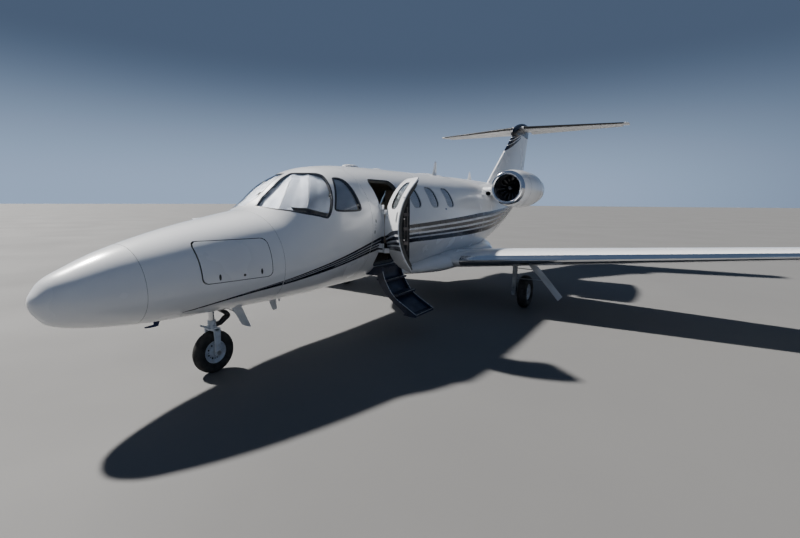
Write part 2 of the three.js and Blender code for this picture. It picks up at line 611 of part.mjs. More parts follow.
// The curved plate that closes the stair's back under its treads
const RISER = [[690, 905], [712, 905], [722, 800], [770, 690], [852, 572], [1046, 428], [1200, 340], [1200, 318],
  [1036, 408], [838, 555], [752, 680], [700, 795]];
function entryStair() {
  const sideOutlineXZ = [[520, 915], [740, 915], [770, 800], [830, 680], [910, 570], [1030, 475],
    [1280, 330], [1280, 296], [1150, 296], [1030, 385], [840, 522], [725, 650], [660, 800], [520, 800]];
  const sides = [STAIR.front, STAIR.back - STAIR.side].map((at) =>
    prism("xz", sideOutlineXZ, aft(at), aft(at + STAIR.side)));
  const treads = TREADS.map(([x, z]) => box(x, x + STAIR.depth, aft(STAIR.front + 5),
    aft(STAIR.back - 5), z, z + 24));
  const top = box(520, 735, aft(STAIR.front + 5), aft(STAIR.back - 5), 880, 912);
  const riser = prism("xz", RISER, aft(STAIR.front + 5), aft(STAIR.back - 5));
  return cut(join(top, riser, ...sides, ...treads), bodySolid(COCKPIT_END, 4200, -GAP));
}
addPiece("entry_stair", entryStair(), DARK_METAL);

// Wing, with the belly fairing round its carry-through
const WING_FRONT = 4200;
const WING_BACK = 9500;
const grown = (rows) => rows.map(([out, lead, chord, z, thick]) =>
  [out, lead - GAP, chord + 2 * GAP, z, thick + 2 * GAP]);
const bodyGrown = bodySolid(WING_FRONT, WING_BACK, -GAP);
const hingePlace = (rows, out) => aft(wingAt(rows, 1, out) + HINGE_SHARE * wingAt(rows, 2, out));
const hingeHalf = (rows, out) => wingAt(rows, 4, out) * sectionHalf(HINGE_SHARE);

// How far a hinge line lies under the middle of the thickness: drop is 0 for the middle, and 1
// for a line that runs just inside the lower surface
const PIN = { radius: 6, bore: 6.8, reach: 26, boreReach: 28, root: 14, cover: 6 };
const lowering = (rows, out, drop) => drop * (hingeHalf(rows, out) - PIN.bore - PIN.cover);
const hingePoint = (rows, out, drop) =>
  [out, hingePlace(rows, out), wingAt(rows, 3, out) - lowering(rows, out, drop)];

// The space of a control surface on the port side: behind its hinge line, with a round nose.
// A swept surface's ends drift outwards as it turns, so they stand further off than its nose.
const END_CLEAR = 14;
function controlSpace(rows, inner, outer, drop, spare) {
  const ends = spare ? [inner - END_CLEAR, outer + END_CLEAR] : [inner, outer];
  const plan = [...ends.map((out) => [out, hingePlace(rows, out)]),
    ...ends.toReversed().map((out) => [out, hingePlace(rows, out) + 1500])];
  const [from, to] = ends.map((out) => hingePoint(rows, out, drop));
  const [fromRadius, toRadius] = ends.map((out) =>
    hingeHalf(rows, out) + lowering(rows, out, drop) - 1 + spare);
  return join(prism("xy", plan, 0, 5000), rod(from, to, fromRadius, 14, toRadius));
}
// Pins along a control surface's hinge line, which reach from the fixed part into both its ends.
// With the bore's radius and a longer reach they are the tools that cut the bores.
function hingePins(rows, inner, outer, drop, radius, reach) {
  const onLine = (out) => hingePoint(rows, out, drop);
  const root = END_CLEAR + PIN.root;
  return [[inner - root, inner + reach], [outer - reach, outer + root]]
    .map(([from, to]) => rod(onLine(from), onLine(to), radius, 8));
}
const wing = cut(wingSolid(WING), bodyGrown);
const SURFACES = [["flap", FLAP, 1], ["aileron", AILERON, 0]];
const wingCuts = SURFACES.flatMap(([, { inner, outer }, drop]) => {
  const space = controlSpace(WING, inner, outer, drop, CLEAR);
  return [space, mirrored(space)];
});
const wingPins = SURFACES.flatMap(([, { inner, outer }, drop]) =>
  hingePins(WING, inner, outer, drop, PIN.radius, PIN.reach).flatMap((pin) => [pin, mirrored(pin)]));
addPiece("wing", join(cut(wing, ...wingCuts), ...wingPins), PAINT);
SURFACES.forEach(([surface, { inner, outer }, drop]) => SIDES.forEach(([name, side]) => {
  const bores = hingePins(WING, inner, outer, drop, PIN.bore, PIN.boreReach);
  const shape = wing.intersect(onSide(cut(controlSpace(WING, inner, outer, drop, 0), ...bores), side));
  addPiece(`${surface}_${name}`, shape, PAINT);
}));

// Belly fairing sections: behind the nose tip, half width, bottom, top
const FAIRING = [
  [4500, 200, 650, 700],
  [4900, 620, 600, 830],
  [5500, 900, 575, 940],
  [6500, 930, 570, 980],
  [7400, 900, 575, 985],
  [8100, 640, 690, 960],
  [8700, 260, 880, 960],
];
function bellyFairing() {
  const rings = FAIRING.map(([at, half, bottom, top]) => range(16).map((n) => {
    const turn = 2 * Math.PI * n / 16;
    return new THREE.Vector3(half * signedPower(Math.cos(turn), 0.75), aft(at),
      mix(bottom, top, 0.5 + signedPower(Math.sin(turn), 0.75) / 2));
  }));
  return cut(loft(rings), bodyGrown, wingSolid(grown(WING)));
}
addPiece("belly_fairing", bellyFairing(), PAINT);

// Fin, rudder, stabilizer and elevators
const uprightSolid = (rows) => loft(rows.map(([z, lead, trail, thick]) => sectionRing((share, half) =>
  new THREE.Vector3(half * thick, aft(lead + share * (trail - lead)), z))));
const RUDDER_LEAN = (RUDDER.hingeTop - RUDDER.hingeBottom) / (RUDDER.top - RUDDER.bottom);
const rudderHinge = (z) => [0, aft(RUDDER.hingeBottom + RUDDER_LEAN * (z - RUDDER.bottom)), z];
const rudderPins = (radius, reach) => [[RUDDER.bottom - 30, RUDDER.bottom + reach],
  [RUDDER.top - reach, RUDDER.top + 50]].map(([from, to]) =>
  rod(rudderHinge(from), rudderHinge(to), radius, 8));
function rudderSpace(spare) {
  const { bottom, top } = RUDDER;
  const hinge = rudderHinge;
  const radiusAt = (z) => mix(64, 60, (z - bottom) / (top - bottom)) + spare;
  const [low, high] = [bottom - spare, top + 2.5 * spare];
  const behind = prism("yz", [[hinge(low)[1], low], [aft(13200), low], [aft(13200), high],
    [hinge(high)[1], high]], -400, 400);
  const nose = rod(hinge(low - 60), hinge(high + 60), radiusAt(low), 14, radiusAt(high))
    .intersect(box(-400, 400, aft(11000), aft(13200), low, high));
  return join(behind, nose);
}
const finWhole = cut(uprightSolid(FIN), bodySolid(8500, TAIL_END, -GAP));
const above = box(-500, 500, aft(9000), aft(13500), CAP_BOTTOM - GAP, 5000);
const capSpace = uprightSolid(CAP.map(([z, lead, trail, thick]) =>
  [z === CAP[0][0] ? z - GAP : z, lead - GAP, trail + GAP, thick + 2 * GAP]));
const stabilizerWhole = wingSolid(STABILIZER);
const [lowerPin, upperPin] = rudderPins(PIN.radius, PIN.reach);
addPiece("fin", join(cut(finWhole, above, capSpace, rudderSpace(CLEAR)), lowerPin), PAINT);
addPiece("rudder", cut(finWhole.intersect(rudderSpace(0)), ...rudderPins(PIN.bore, PIN.boreReach)), PAINT);
const elevatorSpace = (spare, side) =>
  onSide(controlSpace(STABILIZER, ELEVATOR.inner, ELEVATOR.outer, 0, spare), side);
const elevatorPins = (radius, reach) =>
  hingePins(STABILIZER, ELEVATOR.inner, ELEVATOR.outer, 0, radius, reach);
const fixedPins = elevatorPins(PIN.radius, PIN.reach).flatMap((pin) => [pin, mirrored(pin)]);
addPiece("stabilizer", join(cut(stabilizerWhole, elevatorSpace(CLEAR, 1), elevatorSpace(CLEAR, -1)),
  cut(uprightSolid(CAP), rudderSpace(CLEAR)), upperPin, ...fixedPins), PAINT);

// Parked, the elevators hang a little below the stabilizer, turned about their hinge line
function drooped(shape) {
  const [start, end] = [ELEVATOR.inner, ELEVATOR.outer].map((out) =>
    new THREE.Vector3(...hingePoint(STABILIZER, out, 0)));
  const turn = new THREE.Matrix4().makeRotationAxis(start.clone().sub(end).normalize(),
    THREE.MathUtils.degToRad(ELEVATOR.droop));
  const atHinge = moved(geometryOf(shape), ...start.clone().negate().toArray());
  return solid(moved(atHinge.applyMatrix4(turn), ...start.toArray()));
}
SIDES.forEach(([name, side]) => {
  const shape = cut(stabilizerWhole.intersect(elevatorSpace(0, 1)), ...elevatorPins(PIN.bore, PIN.boreReach));
  addPiece(`elevator_${name}`, onSide(drooped(shape), side), PAINT);
});

// Engines. Profiles are radius and distance behind the intake's face.
const LIP_PROFILE = [[266, LIP_LENGTH], [262, 70], [270, 22], [300, 0], [328, 18], [345, 60],
  [354, LIP_LENGTH]];
const NACELLE_OUTSIDE = [[354, LIP_LENGTH + GAP], [380, 300], [398, 650], [400, 950], [382, 1400],
  [325, 1800], [268, NACELLE_LENGTH]];
const NACELLE_INSIDE = [[254, NACELLE_LENGTH], [268, 1800], [292, 1300], [286, 800], [269, 480],
  [266, LIP_LENGTH + GAP]];
const CORE_PROFILE = [[0, 430 + GAP], [34, 430 + GAP], [34, 480], [150, 490], [195, 580], [212, 1100],
  [180, 1480], [120, 1800], [50, 2000], [0, 2040]];
const SPINNER_PROFILE = [[0, 200], [40, 222], [84, 290], [98, 350], [98, 430], [0, 430]];
const turned = (profile, sides, closed) => solid(new THREE.LatheGeometry(
  [...profile, ...(closed ? [profile[0]] : [])].map(([r, y]) => new THREE.Vector2(r, y)), sides));

function fan() {
  const blade = (turn) => {
    const ring = (radius, chord, angle, thick) => [[1, 1], [-1, 1], [-1, -1], [1, -1]].map(([c, t]) => {
      const along = c * chord / 2 * Math.cos(angle) - t * thick / 2 * Math.sin(angle);
      const round = c * chord / 2 * Math.sin(angle) + t * thick / 2 * Math.cos(angle);
      return new THREE.Vector3(radius, FAN_AT + along, round)
        .applyAxisAngle(new THREE.Vector3(0, 1, 0), turn);
    });
    return loft([ring(80, 50, 0.8, 8), ring(FAN_RADIUS - 4, 90, 0.8, 5)]);
  };
  return join(turned(SPINNER_PROFILE, 18), ...range(FAN_BLADES).map((n) =>
    blade(2 * Math.PI * n / FAN_BLADES)));
}
function engineCore() {
  const duct = turned([[0, LIP_LENGTH], ...NACELLE_INSIDE.toReversed().map(([r, y]) => [r - GAP, y]),
    [0, NACELLE_LENGTH]], ENGINE_SIDES);
  const vane = solid(moved(new THREE.BoxGeometry(400, 110, 12), 200, 640, 0));
  const vanes = range(6).map((n) => solid(
    geometryOf(vane).applyMatrix4(new THREE.Matrix4().makeRotationY(Math.PI * n / 3))));
  return join(turned(CORE_PROFILE, 16), ...vanes).intersect(duct);
}
const nacelle = turned([...NACELLE_OUTSIDE, ...NACELLE_INSIDE], ENGINE_SIDES, true);
const lip = turned(LIP_PROFILE, ENGINE_SIDES, true);
SIDES.forEach(([name, side]) => {
  const engine = new THREE.Group();
  engine.position.set(side * ENGINE.x, aft(ENGINE.at), ENGINE.z);
  jet.add(engine);
  addPiece(`nacelle_${name}`, nacelle, PAINT, engine);
  addPiece(`intake_lip_${name}`, lip, POLISHED, engine);
  addPiece(`fan_${name}`, fan(), GREY_METAL, engine);
  addPiece(`engine_core_${name}`, engineCore(), DARK_METAL, engine);
});

// Pylon sections: out from the middle, leading edge, chord, height, thickness
const PYLON = [[250, 7680, 1900, 2050, 190], [1050, 7720, 1800, 2095, 170]];
// The air scoop under the pylon's leading edge: behind the nose, out, height, half width and height
const SCOOP = [[7650, 695, 1992, 64, 50], [7900, 695, 2002, 62, 52], [8250, 695, 2040, 40, 30]];
const SCOOP_MOUTH = [[7640, 695, 1992, 54, 40], [7800, 695, 1998, 48, 36]];
const ovalLoft = (rows) => loft(rows.map(([at, x, z, half, high]) => range(12).map((n) => {
  const turn = 2 * Math.PI * n / 12;
  return new THREE.Vector3(x + half * Math.cos(turn), aft(at), z + high * Math.sin(turn));
})));
function pylon() {
  const strut = loft(PYLON.map(([out, lead, chord, z, thick]) => sectionRing((share, half) =>
    new THREE.Vector3(out, aft(lead + share * chord), z + half * thick))));
  const engineSpace = turned([[0, 0], ...LIP_PROFILE.slice(3), ...NACELLE_OUTSIDE]
    .map(([r, y]) => [r ? r + GAP : 0, y]).concat([[0, NACELLE_LENGTH]]), ENGINE_SIDES);
  const placed = solid(moved(geometryOf(engineSpace), ENGINE.x, aft(ENGINE.at), ENGINE.z));
  return cut(join(strut, ovalLoft(SCOOP)), ovalLoft(SCOOP_MOUTH), placed,
    bodySolid(CABIN_END, 10500, -GAP));
}
SIDES.forEach(([name, side]) => addPiece(`pylon_${name}`, onSide(pylon(), side), PAINT));

// Wheels, each built round its own axle
const alongX = (shape) => solid(geometryOf(shape).rotateZ(-Math.PI / 2));
function tyre({ radius, half, rim }) {
  const shoulder = radius - half * 0.42;
  const profile = [[rim + GAP, -half * 0.62], [rim + half * 0.5, -half * 0.9],
    [shoulder - half * 0.35, -half], [shoulder, -half * 0.9], [radius - half * 0.1, -half * 0.55],
    [radius, 0]];
  const other = profile.slice(0, -1).toReversed().map(([r, y]) => [r, -y]);
  return alongX(turned([...profile, ...other], TYRE_SIDES, true));
}
function rim({ half, rim: reach }, bore) {
  const profile = [[bore, -half * 0.75], [bore + 26, -half * 0.75], [bore + 34, -half * 0.3],
    [reach - 20, -half * 0.3], [reach, -half * 0.66]];
  const other = profile.toReversed().map(([r, y]) => [r, -y]);
  return alongX(turned([...profile, ...other], TYRE_SIDES, true));
}
function addWheel(name, wheel, bore, parent, height) {
  [["tyre", tyre(wheel), TYRE], ["rim", rim(wheel, bore), RIM]].forEach(([part, shape, look]) => {
    addPiece(`${name}_${part}`, shape, look, parent).position.z = height;
  });
}

// Nose gear, in a group on the ground under its axle
const NOSE_AXLE = 17;
const noseGear = new THREE.Group();
noseGear.position.set(0, aft(NOSE_WHEEL_AT), 0);
jet.add(noseGear);
const COLLAR_TOP = 565;
addWheel("nose", NOSE_WHEEL, NOSE_AXLE + 1, noseGear, NOSE_WHEEL.radius);
function noseLeg() {
  return join(rod([0, 0, COLLAR_TOP + GAP], [0, 0, 700], 30, 16),
    rod([0, 0, 690], [0, 0, NOSE_WELL.top - GAP], 44, 16));
}
function noseFork() {
  const crownBottom = 2 * NOSE_WHEEL.radius + CLEAR;
  const crown = box(-88, 88, -38, 38, crownBottom, crownBottom + 26);
  const arms = [-88, 68].map((x) => prism("yz", [[-30, crownBottom + 26], [-26, 190], [26, 190],
    [38, crownBottom + 26]], x, x + 20));
  const axle = rod([-92, 0, NOSE_WHEEL.radius], [92, 0, NOSE_WHEEL.radius], NOSE_AXLE, 16);
  const collar = rod([0, 0, crownBottom], [0, 0, COLLAR_TOP], 42, 16);
  const link = prism("yz", [[30, 486], [121, 504], [205, 560], [205, 590], [179, 635], [72, 684],
    [52, 684], [52, 664], [150, 590], [120, 560], [40, 524]], -22, 22);
  const towLug = prism("yz", [[-38, 500], [-38, 480], [-120, 520], [-112, 536]], -30, 30);
  return join(crown, ...arms, axle, collar, link, towLug);
}
addPiece("nose_leg", noseLeg(), GREY_METAL, noseGear);
addPiece("nose_fork", noseFork(), RIM, noseGear);
const noseDoor = prism("yz",
  [[aft(1613), 760], [aft(1750), 760], [aft(1868), 420], [aft(1752), 471]], 124, 136);
addPiece("nose_gear_door", cut(noseDoor, bodySolid(1250, 2200, -GAP)), PAINT);

// Main gear, in a group on the ground under each wheel
const MAIN_AXLE = 22;
function mainLeg() {
  const inner = -150;
  const post = box(inner - 30, inner + 40, -190, -110, 270, 880);
  const trail = prism("yz", [[-190, 230], [-190, 300], [0, 322], [36, 300], [36, 260], [0, 238]],
    inner - 26, inner + 30);
  const shock = rod([inner - 2, 10, 300], [inner - 2, -130, 640], 24, 12);
  const axle = rod([inner - 30, 0, MAIN_WHEEL.radius], [66, 0, MAIN_WHEEL.radius], MAIN_AXLE, 16);
  const pockets = [320, 372].map((z) => box(inner - 15, inner + 15, -200, -168, z, z + 30));
  return cut(join(post, trail, shock, axle), ...pockets);
}
const wingGrown = wingSolid(grown(WING));
const toWheel = new THREE.Vector3(TRACK / 2, aft(NOSE_WHEEL_AT + WHEELBASE), 0);
const atWheel = (shape) => solid(moved(geometryOf(shape), ...toWheel.toArray()));
const fromWheel = (shape) => solid(moved(geometryOf(shape), ...toWheel.clone().negate().toArray()));
const mainDoor = prism("xz", [[90, 790], [104, 790], [610, 235], [597, 224]], -250, 90);
SIDES.forEach(([name, side]) => {
  const gear = new THREE.Group();
  gear.position.set(side * TRACK / 2, aft(NOSE_WHEEL_AT + WHEELBASE), 0);
  jet.add(gear);
  addWheel(`main_${name}`, MAIN_WHEEL, MAIN_AXLE + 1, gear, MAIN_WHEEL.radius);
  [["leg", mainLeg(), GREY_METAL], ["gear_door", mainDoor, PAINT]].forEach(([part, shape, look]) => {
    const seated = fromWheel(cut(atWheel(shape), wingGrown));
    addPiece(`main_${part}_${name}`, onSide(seated, side), look, gear);
  });
});

export default jet;
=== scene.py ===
# %% [markdown]
# # A light business jet on the apron
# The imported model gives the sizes, the moving bodies and the simple solids. This notebook dresses
# it: smooth skins, glass, paint and stripes, the wheels and the cabin. Metres, with X to port,
# Y towards the tail and Z up, from the ground under the middle of the jet.
# %% Load the frame
import bpy
import numpy as np
from mathutils import Matrix
from mathutils.geometry import delaunay_2d_cdt


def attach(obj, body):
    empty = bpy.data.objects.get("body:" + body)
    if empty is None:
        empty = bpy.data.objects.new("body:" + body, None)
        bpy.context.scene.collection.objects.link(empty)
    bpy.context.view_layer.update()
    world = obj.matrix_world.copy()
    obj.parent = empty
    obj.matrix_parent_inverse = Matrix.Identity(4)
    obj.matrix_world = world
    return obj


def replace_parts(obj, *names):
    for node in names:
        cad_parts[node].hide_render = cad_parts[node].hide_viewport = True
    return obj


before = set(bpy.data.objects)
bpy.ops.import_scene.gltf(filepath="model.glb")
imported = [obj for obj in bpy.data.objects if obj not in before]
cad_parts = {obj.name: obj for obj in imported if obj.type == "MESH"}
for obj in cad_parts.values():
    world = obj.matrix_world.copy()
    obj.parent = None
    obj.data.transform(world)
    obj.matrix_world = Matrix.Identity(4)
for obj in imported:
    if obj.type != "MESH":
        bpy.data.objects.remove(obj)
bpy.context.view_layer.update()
# Each side's name, and the sign of its X
SIDES = (("port", 1), ("starboard", -1))
print(len(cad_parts), "solids in the frame")

# %% [markdown]
# ## The camera
# The photograph was taken at eye height, off the port side of the nose. The place and angles come
# from the wheels, the door and the wing in it, at a picture size of 800 by 538.
# %% Camera
NOSE_Y = -6.49
FOCAL_PIXELS, PICTURE_WIDTH, SENSOR_WIDTH = 425, 800, 36
CAMERA_PLACE = (3.943, -7.637, 1.791)
YAW, PITCH, ROLL = np.radians([31.77, 8.89, 0.31])


def aft(distance):
    """Y of a place so many metres behind the nose tip."""
    return NOSE_Y + distance


def camera_matrix():
    """Columns are right, up and backwards: level first, then tipped by the roll."""
    ahead = np.array([-np.sin(YAW) * np.cos(PITCH), np.cos(YAW) * np.cos(PITCH), -np.sin(PITCH)])
    level = np.array([np.cos(YAW), np.sin(YAW), 0.0])
    upright = np.cross(level, ahead)
    right = level * np.cos(ROLL) + upright * np.sin(ROLL)
    up = upright * np.cos(ROLL) - level * np.sin(ROLL)
    matrix = Matrix.Identity(4)
    for column, axis in enumerate((right, up, -ahead, CAMERA_PLACE)):
        for row in range(3):
            matrix[row][column] = axis[row]
    return matrix


camera = bpy.data.objects.new("camera", bpy.data.cameras.new("camera"))
bpy.context.collection.objects.link(camera)
camera.data.sensor_width = SENSOR_WIDTH
camera.data.lens = FOCAL_PIXELS / PICTURE_WIDTH * SENSOR_WIDTH
camera.data.clip_end = 1000
camera.matrix_world = camera_matrix()
bpy.context.scene.camera = camera
print("lens", round(camera.data.lens, 2), "mm")

# %% [markdown]
# ## Finishes
# Paint, metal and rubber all start from one shader with three layers of detail: slow patches of
# colour, a fine variation of gloss and a small bump. One helper builds that, and each finish
# then names its colours and its scales. Textures read Object coordinates, in metres.
# %% Helper for finishes
def new_finish(name, colour, roughness=0.5, metallic=0.0, **sockets):
    """A principled material with its constant values set on the shader's own sockets."""
    finish = bpy.data.materials.new(name)
    finish.use_nodes = True
    shader = finish.node_tree.nodes["Principled BSDF"]
    values = {"Base Color": (*colour, 1), "Roughness": roughness, "Metallic": metallic, **sockets}
    for socket, value in values.items():
        shader.inputs[socket].default_value = value
    finish.diffuse_color = (*colour, 1)
    return finish, finish.node_tree.nodes, finish.node_tree.links, shader


def noise_of(nodes, links, scale, detail=3.0, stretch=(1, 1, 1)):
    """Noise in Object coordinates, stretched by a Mapping node."""
    place = nodes.new("ShaderNodeTexCoord")
    mapping = nodes.new("ShaderNodeMapping")
    mapping.inputs["Scale"].default_value = stretch
    noise = nodes.new("ShaderNodeTexNoise")
    noise.inputs["Scale"].default_value = scale
    noise.inputs["Detail"].default_value = detail
    links.new(place.outputs["Object"], mapping.inputs["Vector"])
    links.new(mapping.outputs["Vector"], noise.inputs["Vector"])
    return noise


def ramp_of(nodes, links, source, stops):
    """A colour ramp on a value: stops are (place, colour)."""
    ramp = nodes.new("ShaderNodeValToRGB")
    while len(ramp.color_ramp.elements) < len(stops):
        ramp.color_ramp.elements.new(0.5)
    for element, (place, colour) in zip(ramp.color_ramp.elements, stops):
        element.position = place
        element.color = (*colour, 1)
    links.new(source, ramp.inputs["Fac"])
    return ramp


def spread_of(nodes, links, source, low, high):
    """Maps a value from 0.3..0.7 to low..high, for roughness and height."""
    spread = nodes.new("ShaderNodeMapRange")
    for socket, value in (("From Min", 0.3), ("From Max", 0.7), ("To Min", low), ("To Max", high)):
        spread.inputs[socket].default_value = value
    links.new(source, spread.inputs["Value"])
    return spread


def worn(name, light, dark, patch, gloss, grain, bump, metallic=0.0, stretch=(1, 1, 1), **sockets):
    """Patches from dark to light at one scale, gloss from gloss[0] to gloss[1], and a fine bump."""
    finish, nodes, links, shader = new_finish(name, light, gloss[0], metallic, **sockets)
    slow = noise_of(nodes, links, patch, 4, stretch)
    fine = noise_of(nodes, links, grain, 2, stretch)
    colours = ramp_of(nodes, links, slow.outputs["Fac"], [(0.32, dark), (0.6, light)])
    shine = spread_of(nodes, links, slow.outputs["Fac"], gloss[1], gloss[0])
    height = nodes.new("ShaderNodeBump")
    height.inputs["Strength"].default_value = bump
    height.inputs["Distance"].default_value = 0.002
    links.new(fine.outputs["Fac"], height.inputs["Height"])
    links.new(colours.outputs["Color"], shader.inputs["Base Color"])
    links.new(shine.outputs["Result"], shader.inputs["Roughness"])
    links.new(height.outputs["Normal"], shader.inputs["Normal"])
    return finish


# %% [markdown]
# The jet's white is a thick, polished two-part paint. From a step away it shows as soft patches
# of reflection and a faint film of dust, so its bump is very low and its coat is sharp.
# %% Paints and metals
WHITE_PAINT = worn("white_paint", (0.86, 0.87, 0.88), (0.8, 0.81, 0.83), 1.3, (0.16, 0.3), 9, 0.02,
                   **{"Coat Weight": 0.6, "Coat Roughness": 0.06})
NAVY_PAINT = worn("navy_stripe_paint", (0.006, 0.008, 0.02), (0.004, 0.005, 0.012), 3, (0.2, 0.32), 12, 0.02,
                  **{"Coat Weight": 0.25, "Specular IOR Level": 0.35})
SILVER_PAINT = worn("silver_stripe_paint", (0.6, 0.62, 0.66), (0.5, 0.52, 0.56), 5, (0.28, 0.42), 300, 0.03,
                    metallic=0.25)
POLISHED = worn("polished_leading_edge", (0.8, 0.82, 0.85), (0.68, 0.7, 0.74), 4, (0.08, 0.2), 60, 0.03,
                metallic=1.0, stretch=(0.2, 1, 1))
BARE_METAL = worn("brushed_metal", (0.6, 0.61, 0.63), (0.45, 0.46, 0.48), 14, (0.25, 0.42), 240, 0.12,
                  metallic=1.0)
CHROME = worn("chromed_piston", (0.78, 0.79, 0.8), (0.66, 0.67, 0.69), 20, (0.06, 0.16), 120, 0.02,
              metallic=1.0)
# The gear paint is partly its own grey and partly painted shade: it is darkened for the deep shade under the
# wing and the nose.
SHADE_DARKENED_GEAR_PAINT = worn("gear_leg_paint_darkened_for_shade", (0.34, 0.37, 0.4), (0.22, 0.24, 0.26), 12, (0.35, 0.6), 90, 0.15)
# The main gear doors are white paint, drawn mid grey as painted shade for the shade they hang in under the
# wing.
SHADED_GEAR_DOOR_PAINT = worn("gear_door_painted_shade", (0.5, 0.52, 0.55), (0.4, 0.42, 0.45), 3, (0.3, 0.5), 60, 0.05)
RIM_PAINT = worn("wheel_paint", (0.62, 0.69, 0.77), (0.44, 0.48, 0.54), 16, (0.3, 0.5), 90, 0.1)
HOT_METAL = worn("heat_stained_metal", (0.22, 0.2, 0.19), (0.1, 0.09, 0.09), 9, (0.35, 0.6), 60, 0.2,
                 metallic=0.9)
# The fan's metal is drawn almost black as painted shade, for the shade deep inside the intake.
SHADE_DARKENED_FAN_METAL = worn("fan_blade_metal_darkened_for_shade", (0.13, 0.13, 0.14), (0.08, 0.08, 0.09), 20, (0.22, 0.4), 200, 0.08,
                 metallic=1.0)
DARK_RUBBER = worn("seal_rubber", (0.03, 0.032, 0.036), (0.018, 0.018, 0.02), 40, (0.5, 0.75), 400, 0.2)
# The rim of each opening in the cabin wall is near black as painted shade, for the shade inside the window and
# door recesses.
REVEAL_PAINTED_SHADE = worn("window_reveal_painted_shade", (0.04, 0.048, 0.065), (0.025, 0.03, 0.042), 20, (0.5, 0.7), 200, 0.15)
TYRE_RUBBER = worn("tyre_rubber", (0.035, 0.034, 0.033), (0.016, 0.016, 0.016), 14, (0.6, 0.9), 260, 0.35)
DARK_TRIM = worn("dark_trim", (0.03, 0.031, 0.034), (0.018, 0.018, 0.02), 25, (0.55, 0.8), 700, 0.3)
STAIR_TREAD = worn("stair_tread", (0.03, 0.04, 0.065), (0.018, 0.022, 0.035), 12, (0.45, 0.7), 900, 0.5)
LINING = worn("cabin_lining", (0.62, 0.58, 0.5), (0.52, 0.48, 0.41), 6, (0.6, 0.8), 500, 0.2)
CARPET = worn("cabin_carpet", (0.2, 0.18, 0.16), (0.13, 0.12, 0.11), 30, (0.85, 0.95), 900, 0.9)
LEATHER = worn("seat_leather", (0.55, 0.47, 0.36), (0.42, 0.35, 0.27), 8, (0.4, 0.6), 380, 0.35)
PRIMER = worn("green_primer", (0.34, 0.38, 0.3), (0.24, 0.27, 0.21), 8, (0.5, 0.7), 200, 0.15)
BOOT = worn("de_icing_boot", (0.02, 0.021, 0.024), (0.012, 0.012, 0.014), 10, (0.35, 0.6), 200, 0.1)
print(len(bpy.data.materials), "finishes")

# %% [markdown]
# ## Making meshes from arrays
# Every new piece is a set of points that numpy works out in one go. A closed loft turns its faces
# the right way by the sign of its volume, and edges sharper than a limit stay crisp.
# %% Helpers for meshes
def unit(vectors):
    """Each vector divided by its length."""
    return vectors / np.maximum(np.linalg.norm(vectors, axis=-1, keepdims=True), 1e-12)


def grid_faces(rows, columns, wrap=True):
    """Quads of a grid of points: column neighbours joined round when wrap is true."""
    row, column = np.meshgrid(np.arange(rows - 1), np.arange(columns if wrap else columns - 1), indexing="ij")
    beside = (column + 1) % columns
    corners = [row * columns + column, row * columns + beside,
               (row + 1) * columns + beside, (row + 1) * columns + column]
    return np.stack(corners, -1).reshape(-1, 4)


def volume_of(points, faces):
    """Signed volume: each face as a fan of triangles from its first corner."""
    total = 0.0
    for face in faces:
        face = np.asarray(face).reshape(-1, np.asarray(face).shape[-1])
        for k in range(1, face.shape[1] - 1):
            a, b, c = points[face[:, 0]], points[face[:, k]], points[face[:, k + 1]]
            total += np.einsum("ij,ij->", a, np.cross(b, c))
    return total / 6


def add_piece(name, points, face_sets, finishes, body="airframe", angle=35.0, marks=None, normals=None,
              slot=None):
    """Makes the mesh, smooths it but for edges sharper than angle, and sets it on its body."""
    mesh = bpy.data.meshes.new(name)
    faces = [face for face_set in face_sets for face in np.asarray(face_set).tolist()]
    mesh.from_pydata(np.asarray(points, float).tolist(), [], faces)
    finishes = finishes if isinstance(finishes, (list, tuple)) else [finishes]
    for finish in finishes:
        mesh.materials.append(finish)
    if marks is not None:
        mesh.polygons.foreach_set("material_index", np.asarray(marks, np.int32))
    mesh.polygons.foreach_set("use_smooth", np.ones(len(mesh.polygons), bool))
    if normals is None:
        mesh.set_sharp_from_angle(angle=np.radians(angle))
    else:
        mesh.normals_split_custom_set(normals.tolist())
    mesh.update()
    piece = bpy.data.objects.new(name, mesh)
    bpy.context.collection.objects.link(piece)
    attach(piece, body)
    return piece


def loft_faces(rings, corners, wrap_rings=False):
    """Faces of a closed loft of rings: its sides, and a flat cap at each end unless it is a hoop."""
    sides = grid_faces(rings, corners)
    if wrap_rings:
        last = (rings - 1) * corners + np.arange(corners)
        bridge = np.stack([last, np.roll(last, -1), np.roll(np.arange(corners), -1), np.arange(corners)], -1)
        return [np.concatenate([sides, bridge])]
    last = (rings - 1) * corners
    return [sides, np.arange(corners)[::-1][None], (last + np.arange(corners))[None]]


def lofts(name, shapes, finish, body="airframe", **options):
    """One piece from several closed lofts. A shape is an array of rings, or ("hoop", rings)."""
    points, sets, start = [], [], 0
    for shape in shapes:
        hoop = isinstance(shape, tuple)
        rings = np.asarray(shape[1] if hoop else shape, float)
        flat = rings.reshape(-1, 3)
        faces = loft_faces(rings.shape[0], rings.shape[1], hoop)
        if volume_of(flat, faces) < 0:
            faces = [face[:, ::-1] for face in faces]
        sets += [face + start for face in faces]
        points.append(flat)
        start += len(flat)
    return add_piece(name, np.concatenate(points), sets, finish, body, **options)


def both_sides(shapes):
    """The same lofts on the port and starboard sides."""
    mirror = np.array([-1, 1, 1])
    flip = [("hoop", np.asarray(shape[1]) * mirror) if isinstance(shape, tuple)
            else np.asarray(shape) * mirror for shape in shapes]
    return list(shapes) + flip


